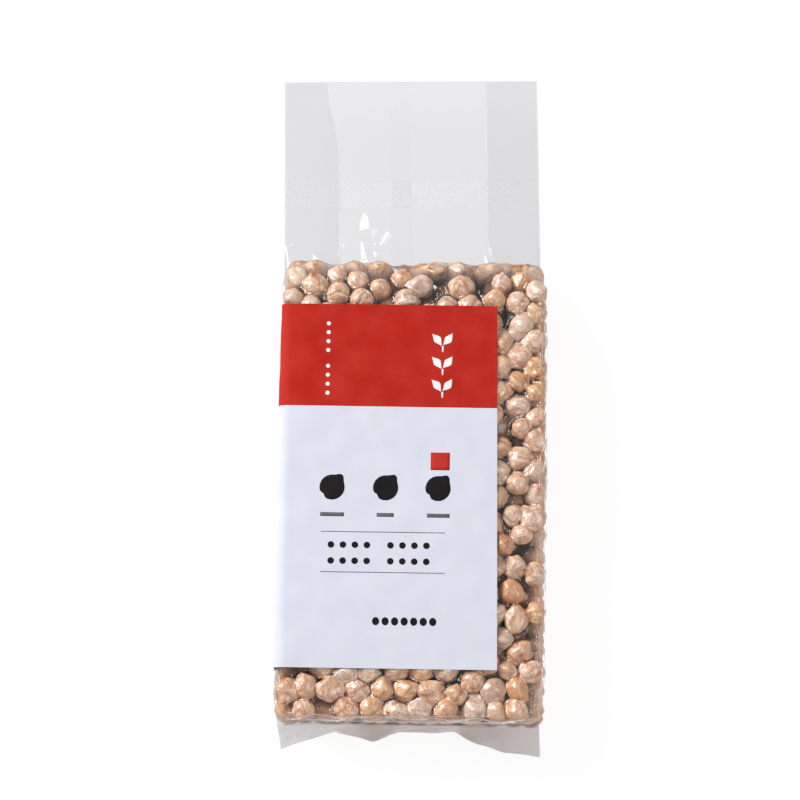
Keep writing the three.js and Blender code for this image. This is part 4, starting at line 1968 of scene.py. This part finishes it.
@dataclass
class LabelPrint:
    """The print: fields of generic marks laid over the paper."""

    label: WrapLabel
    lift: float = 0.035 * MM
    clearance: float = 0.006 * MM
    spacing: float = 1.6
    least_columns: int = 10

    def _shape(self, mark: PrintMark, s: np.ndarray, t: np.ndarray) -> tuple[np.ndarray, np.ndarray]:
        """Shapes a square of -1 to 1 into a mark.

        Args:
            mark: The mark.
            s: Places across the square.
            t: Places up the square.

        Returns:
            The places across and up, in millimetres from the mark's middle.
        """
        if mark.kind is not Mark.BAR:
            s, t = s * np.sqrt(1 - t * t / 2), t * np.sqrt(1 - s * s / 2)
        if mark.kind is Mark.PEA:
            angle = np.arctan2(t, s) - 0.9
            away = np.hypot(s, t)
            beak = 0.3 * np.exp(-((np.angle(np.exp(1j * angle)) / 0.3) ** 2))
            cleft = 0.16 * np.exp(-((np.angle(np.exp(1j * (angle - 2.9))) / 0.22) ** 2))
            s, t = s * (1 + away * (beak - cleft)), t * (1 + away * (beak - cleft))
        if mark.kind is Mark.LEAF:
            t = t * (1 - np.abs(s) ** 1.4) + 0.25 * s * s
        a = math.radians(mark.turn)
        wide, high = s * mark.width / 2, t * mark.height / 2
        return wide * math.cos(a) - high * math.sin(a), wide * math.sin(a) + high * math.cos(a)

    def build(self, name: str, marks: list[PrintMark], ink: bpy.types.Material) -> bpy.types.Object:
        """Makes all marks of one colour as one piece.

        Args:
            name: The piece's name.
            marks: The marks.
            ink: Their finish.

        Returns:
            The piece.
        """
        bm = bmesh.new()
        for mark in marks:

            def place(u: np.ndarray, v: np.ndarray, side: np.ndarray, mark: PrintMark = mark) -> np.ndarray:
                """Places points of the mark.

                Args:
                    u: Places across it.
                    v: Places up it.
                    side: 1 on its outer face, -1 on its inner one.
                    mark: The mark.

                Returns:
                    The points.
                """
                across, up = self._shape(mark, 2 * u - 1, 2 * v - 1)
                x, y = (mark.x + across) * MM, (mark.y + up) * MM
                lift = self.lift * (1 + side) / 2 + self.clearance
                return self.label.surface(self.label.run_at(x), y, lift)

            least = 1 if mark.kind is Mark.BAR else self.least_columns
            columns, rows = (max(least, round(size / self.spacing)) for size in (mark.width, mark.height))
            add_sheet(bm, columns, rows, place)
        piece = object_from(name, bm)
        piece.data.materials.append(ink)
        return piece

    @staticmethod
    def dark_marks() -> list[PrintMark]:
        """Lists the three large marks and the rows of small ones below them.

        Returns:
            The marks.
        """
        marks = [PrintMark(Mark.PEA, x, -34.0, 9.6, 9.6) for x in (-30.6, -10.2, 9.8)]
        for row in (-56.0, -62.1):
            for start in (-30.6, -8.0):
                marks += [PrintMark(Mark.DOT, start + 4.55 * i, row, 2.5, 2.5) for i in range(4)]
        marks += [PrintMark(Mark.DOT, -13.2 + 3.6 * i, -84.9, 2.7, 3.1) for i in range(7)]
        return marks

    @staticmethod
    def grey_marks() -> list[PrintMark]:
        """Lists the fine bars under the large marks and the two thin rules.

        Returns:
            The marks.
        """
        marks = [PrintMark(Mark.BAR, x, -44.4, w, 1.5) for x, w in ((-30.4, 9.0), (-10.2, 6.5), (10.0, 8.6))]
        marks += [PrintMark(Mark.BAR, -10.9, y, 47.2, 0.28) for y in (-51.0, -66.4)]
        return marks

    @staticmethod
    def white_marks() -> list[PrintMark]:
        """Lists the marks on the coloured band.

        Returns:
            The marks.
        """
        marks = []
        for y in (23.3, 14.3, 5.4):
            for way in (-1, 1):
                marks.append(PrintMark(Mark.LEAF, 11.0 + 2.1 * way, y + 0.6, 6.2, 3.0, 90 - 38 * way))
            marks.append(PrintMark(Mark.BAR, 11.0, y - 3.1, 0.7, 2.4))
        for start in (29.6, 12.9):
            marks += [PrintMark(Mark.DOT, -33.0, start - 3.5 * i, 1.6, 1.6) for i in range(4)]
        return marks

    @staticmethod
    def square_marks() -> list[PrintMark]:
        """Lists the small square."""
        return [PrintMark(Mark.BAR, 10.5, -23.5, 7.3, 6.8)]


@dataclass
class Studio:
    """The floor, the lights and the camera."""

    distance: float = 1040 * MM
    elevation: float = math.radians(80)
    roll: float = math.radians(0.85)
    scale: float = 0.383 * MM
    target: tuple[float, float, float] = (-5.2 * MM, 0, 40 * MM)
    frame_pixels: int = 800
    sensor: float = 36.0
    world_strength: float = 0.3

    def build_camera(self) -> None:
        """Sets the camera at the photograph's angle, distance and lens."""
        data = bpy.data.cameras.new("photo_camera")
        data.sensor_width = self.sensor
        data.lens = self.sensor * self.distance / (self.scale * self.frame_pixels)
        data.clip_end = 50
        camera = bpy.data.objects.new("photo_camera", data)
        bpy.context.scene.collection.objects.link(camera)
        back = Vector((0, -math.cos(self.elevation), math.sin(self.elevation)))
        up = Vector((0, math.sin(self.elevation), math.cos(self.elevation)))
        right = Vector((1, 0, 0))
        turned = right * math.cos(self.roll) + up * math.sin(self.roll)
        head = up * math.cos(self.roll) - right * math.sin(self.roll)
        facing = Matrix((turned, head, back)).transposed().to_4x4()
        camera.matrix_world = Matrix.Translation(Vector(self.target) + back * self.distance) @ facing
        bpy.context.scene.camera = camera

    def build_floor(self) -> None:
        """Lays a wide plain floor under the pack."""
        bm = bmesh.new()
        bmesh.ops.create_grid(bm, x_segments=1, y_segments=1, size=4)
        mesh = bpy.data.meshes.new("floor")
        bm.to_mesh(mesh)
        bm.free()
        floor = bpy.data.objects.new("floor", mesh)
        bpy.context.scene.collection.objects.link(floor)
        mesh.materials.append(FloorFinish().build())

    def build_lights(self) -> None:
        """Hangs a soft box to the upper left and fills the rest from all round."""
        world = bpy.data.worlds.new("studio_white")
        world.use_nodes = True
        background = world.node_tree.nodes["Background"]
        background.inputs["Color"].default_value = WHITE
        background.inputs["Strength"].default_value = self.world_strength
        bpy.context.scene.world = world
        bpy.context.scene.view_settings.view_transform = "Standard"
        self._soft_box("key", (-0.95, 0.58, 0.85), 0.95, 21.0)
        self._soft_box("fill", (0.95, -0.35, 1.05), 0.9, 5.5)

    @staticmethod
    def _soft_box(name: str, place: tuple[float, float, float], size: float, power: float) -> None:
        """Hangs one square light that faces the pack.

        Args:
            name: The light's name.
            place: Where it hangs.
            size: Its side.
            power: Its power in watts.
        """
        data = bpy.data.lights.new(name, "AREA")
        data.shape = "SQUARE"
        data.size = size
        data.energy = power
        light = bpy.data.objects.new(name, data)
        light.location = place
        light.rotation_euler = Vector(place).to_track_quat("Z", "Y").to_euler()
        bpy.context.scene.collection.objects.link(light)


PEA_COLOURS = {
    PeaKind.PALE: (linear(255, 232, 210), linear(248, 204, 168), linear(202, 132, 88)),
    PeaKind.TAN: (linear(255, 222, 192), linear(242, 188, 146), linear(194, 118, 70)),
    PeaKind.AMBER: (linear(252, 210, 168), linear(234, 168, 116), linear(184, 104, 54)),
    PeaKind.DUSTY: (linear(250, 224, 204), linear(232, 190, 160), linear(184, 124, 88)),
}


def make_heap(effects: SharedEffects, form: BrickForm, label: LabelForm) -> list[bpy.types.Object]:
    """Fills the pack with peas.

    Args:
        effects: The shared node groups.
        form: The brick that the peas fill.
        label: The label that hides some of them.

    Returns:
        The peas' pieces.
    """
    finishes = {k: PeaFinish(k.value[0], *PEA_COLOURS[k]).build(effects) for k in PeaKind}
    heap = PeaHeap(form, label)
    heap.settle()
    # The peas behind take a darker copy of the pea finish: painted shade for the second layer.
    shaded = PeaFinish("pea_shaded", linear(206, 158, 122), linear(170, 118, 82), linear(110, 64, 38), 0.55)
    behind = shaded.build(effects)
    pieces = heap.build(finishes, behind)
    # The core's dark browns are painted shade, in place of the unlit peas further in.
    dark = linear(44, 27, 20)
    core = PeaFinish("heap_shade", dark, dark, linear(28, 17, 12)).build(effects)
    pieces.append(heap.build_core(core))
    for piece in pieces:
        report(piece)
    return pieces


def report(piece: bpy.types.Object) -> None:
    """Reports a piece and its number of faces."""
    LOG.info("%s: %d faces", piece.name, len(piece.data.polygons))


def make_film(
    effects: SharedEffects, form: BrickForm, label: LabelForm, peas: list[bpy.types.Object]
) -> None:
    """Wraps the peas in film and adds the flat end and the bottom fin.

    Args:
        effects: The shared node groups.
        form: The brick that the film goes round.
        label: The label that lies on it.
        peas: The pieces that the film lies on.
    """
    # The tight film's shade colour is painted shade on the pack's side walls.
    tight = FilmFinish(
        "tight_film",
        tint=(0.99, 0.99, 0.992, 1),
        shade=(0.86, 0.77, 0.69, 1),
        haze=0.003,
        reflect=0.055,
        roughness=0.17,
        crease_scale=300.0,
        most=0.26,
    )
    loose = FilmFinish(
        "loose_film",
        tint=(0.913, 0.913, 0.924, 1),
        reflect=0.01,
        haze=0.03,
        crease_scale=60.0,
        crease_depth=0.05,
        wrinkle_share=0.02,
        emboss_milk=0.12,
    )
    folded = FilmFinish(
        "folded_film",
        tint=(0.981, 0.981, 0.983, 1),
        reflect=0.0,
        haze=0.004,
        crease_scale=60.0,
        crease_depth=0.03,
        most=0.05,
        wrinkle_share=0.02,
        emboss_milk=0.03,
    )
    lapped = FilmFinish(
        "lapped_film",
        tint=(0.999, 0.999, 0.999, 1),
        reflect=0.0,
        haze=0.001,
        crease_depth=0.02,
        most=0.008,
    )
    # The sealed film's shade colour is painted shade where the fin folds back under the pack.
    sealed = FilmFinish(
        "sealed_film",
        tint=(0.905, 0.9, 0.905, 1),
        shade=(0.57, 0.47, 0.43, 1),
        reflect=0.04,
        haze=0.1,
        roughness=0.3,
        crease_depth=0.15,
    )
    pinched = FilmFinish(
        "pinched_film",
        tint=(0.95, 0.93, 0.91, 1),
        reflect=0.06,
        haze=0.13,
        roughness=0.3,
        most=0.42,
    )
    film = VacuumFilm(form, label).build(peas, tight.build(effects))
    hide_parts("filled_bag")
    report(film)
    for piece in FilmEnd().build(loose.build(effects), folded.build(effects), lapped.build(effects)):
        report(piece)
    report(FilmPleats(form).build(pinched.build(effects)))
    report(BottomFin().build(sealed.build(effects)))


def make_label(effects: SharedEffects, form: LabelForm) -> None:
    """Wraps the label round the pack and prints it.

    Args:
        effects: The shared node groups.
        form: The label's outline.
    """
    pale = PaperFinish("pale_paper", linear(218, 220, 233), linear(222, 224, 236)).build(effects)
    red = PaperFinish("red_band", linear(182, 34, 22), linear(192, 48, 37)).build(effects)
    label = WrapLabel(form)
    report(label.build(pale, red))
    printer = LabelPrint(label)
    inks = (
        ("dark_print", printer.dark_marks(), "dark_ink", linear(24, 22, 24), linear(34, 30, 32)),
        ("grey_print", printer.grey_marks(), "grey_ink", linear(96, 94, 100), linear(112, 110, 116)),
        ("white_print", printer.white_marks(), "white_ink", linear(244, 240, 240), linear(250, 246, 246)),
        ("square_print", printer.square_marks(), "red_ink", linear(192, 46, 36), linear(198, 56, 46)),
    )
    for name, marks, ink, colour, patch_colour in inks:
        report(printer.build(name, marks, PaperFinish(ink, colour, patch_colour).build(effects)))


def main() -> None:
    """Builds the pack and the studio round it."""
    logging.basicConfig(level=logging.INFO, format="%(message)s")
    effects = SharedEffects()
    brick, label = BrickForm(), LabelForm()
    studio = Studio()
    studio.build_camera()
    studio.build_floor()
    studio.build_lights()
    peas = make_heap(effects, brick, label)
    make_film(effects, brick, label, peas)
    make_label(effects, label)


if __name__ == "__main__":
    main()
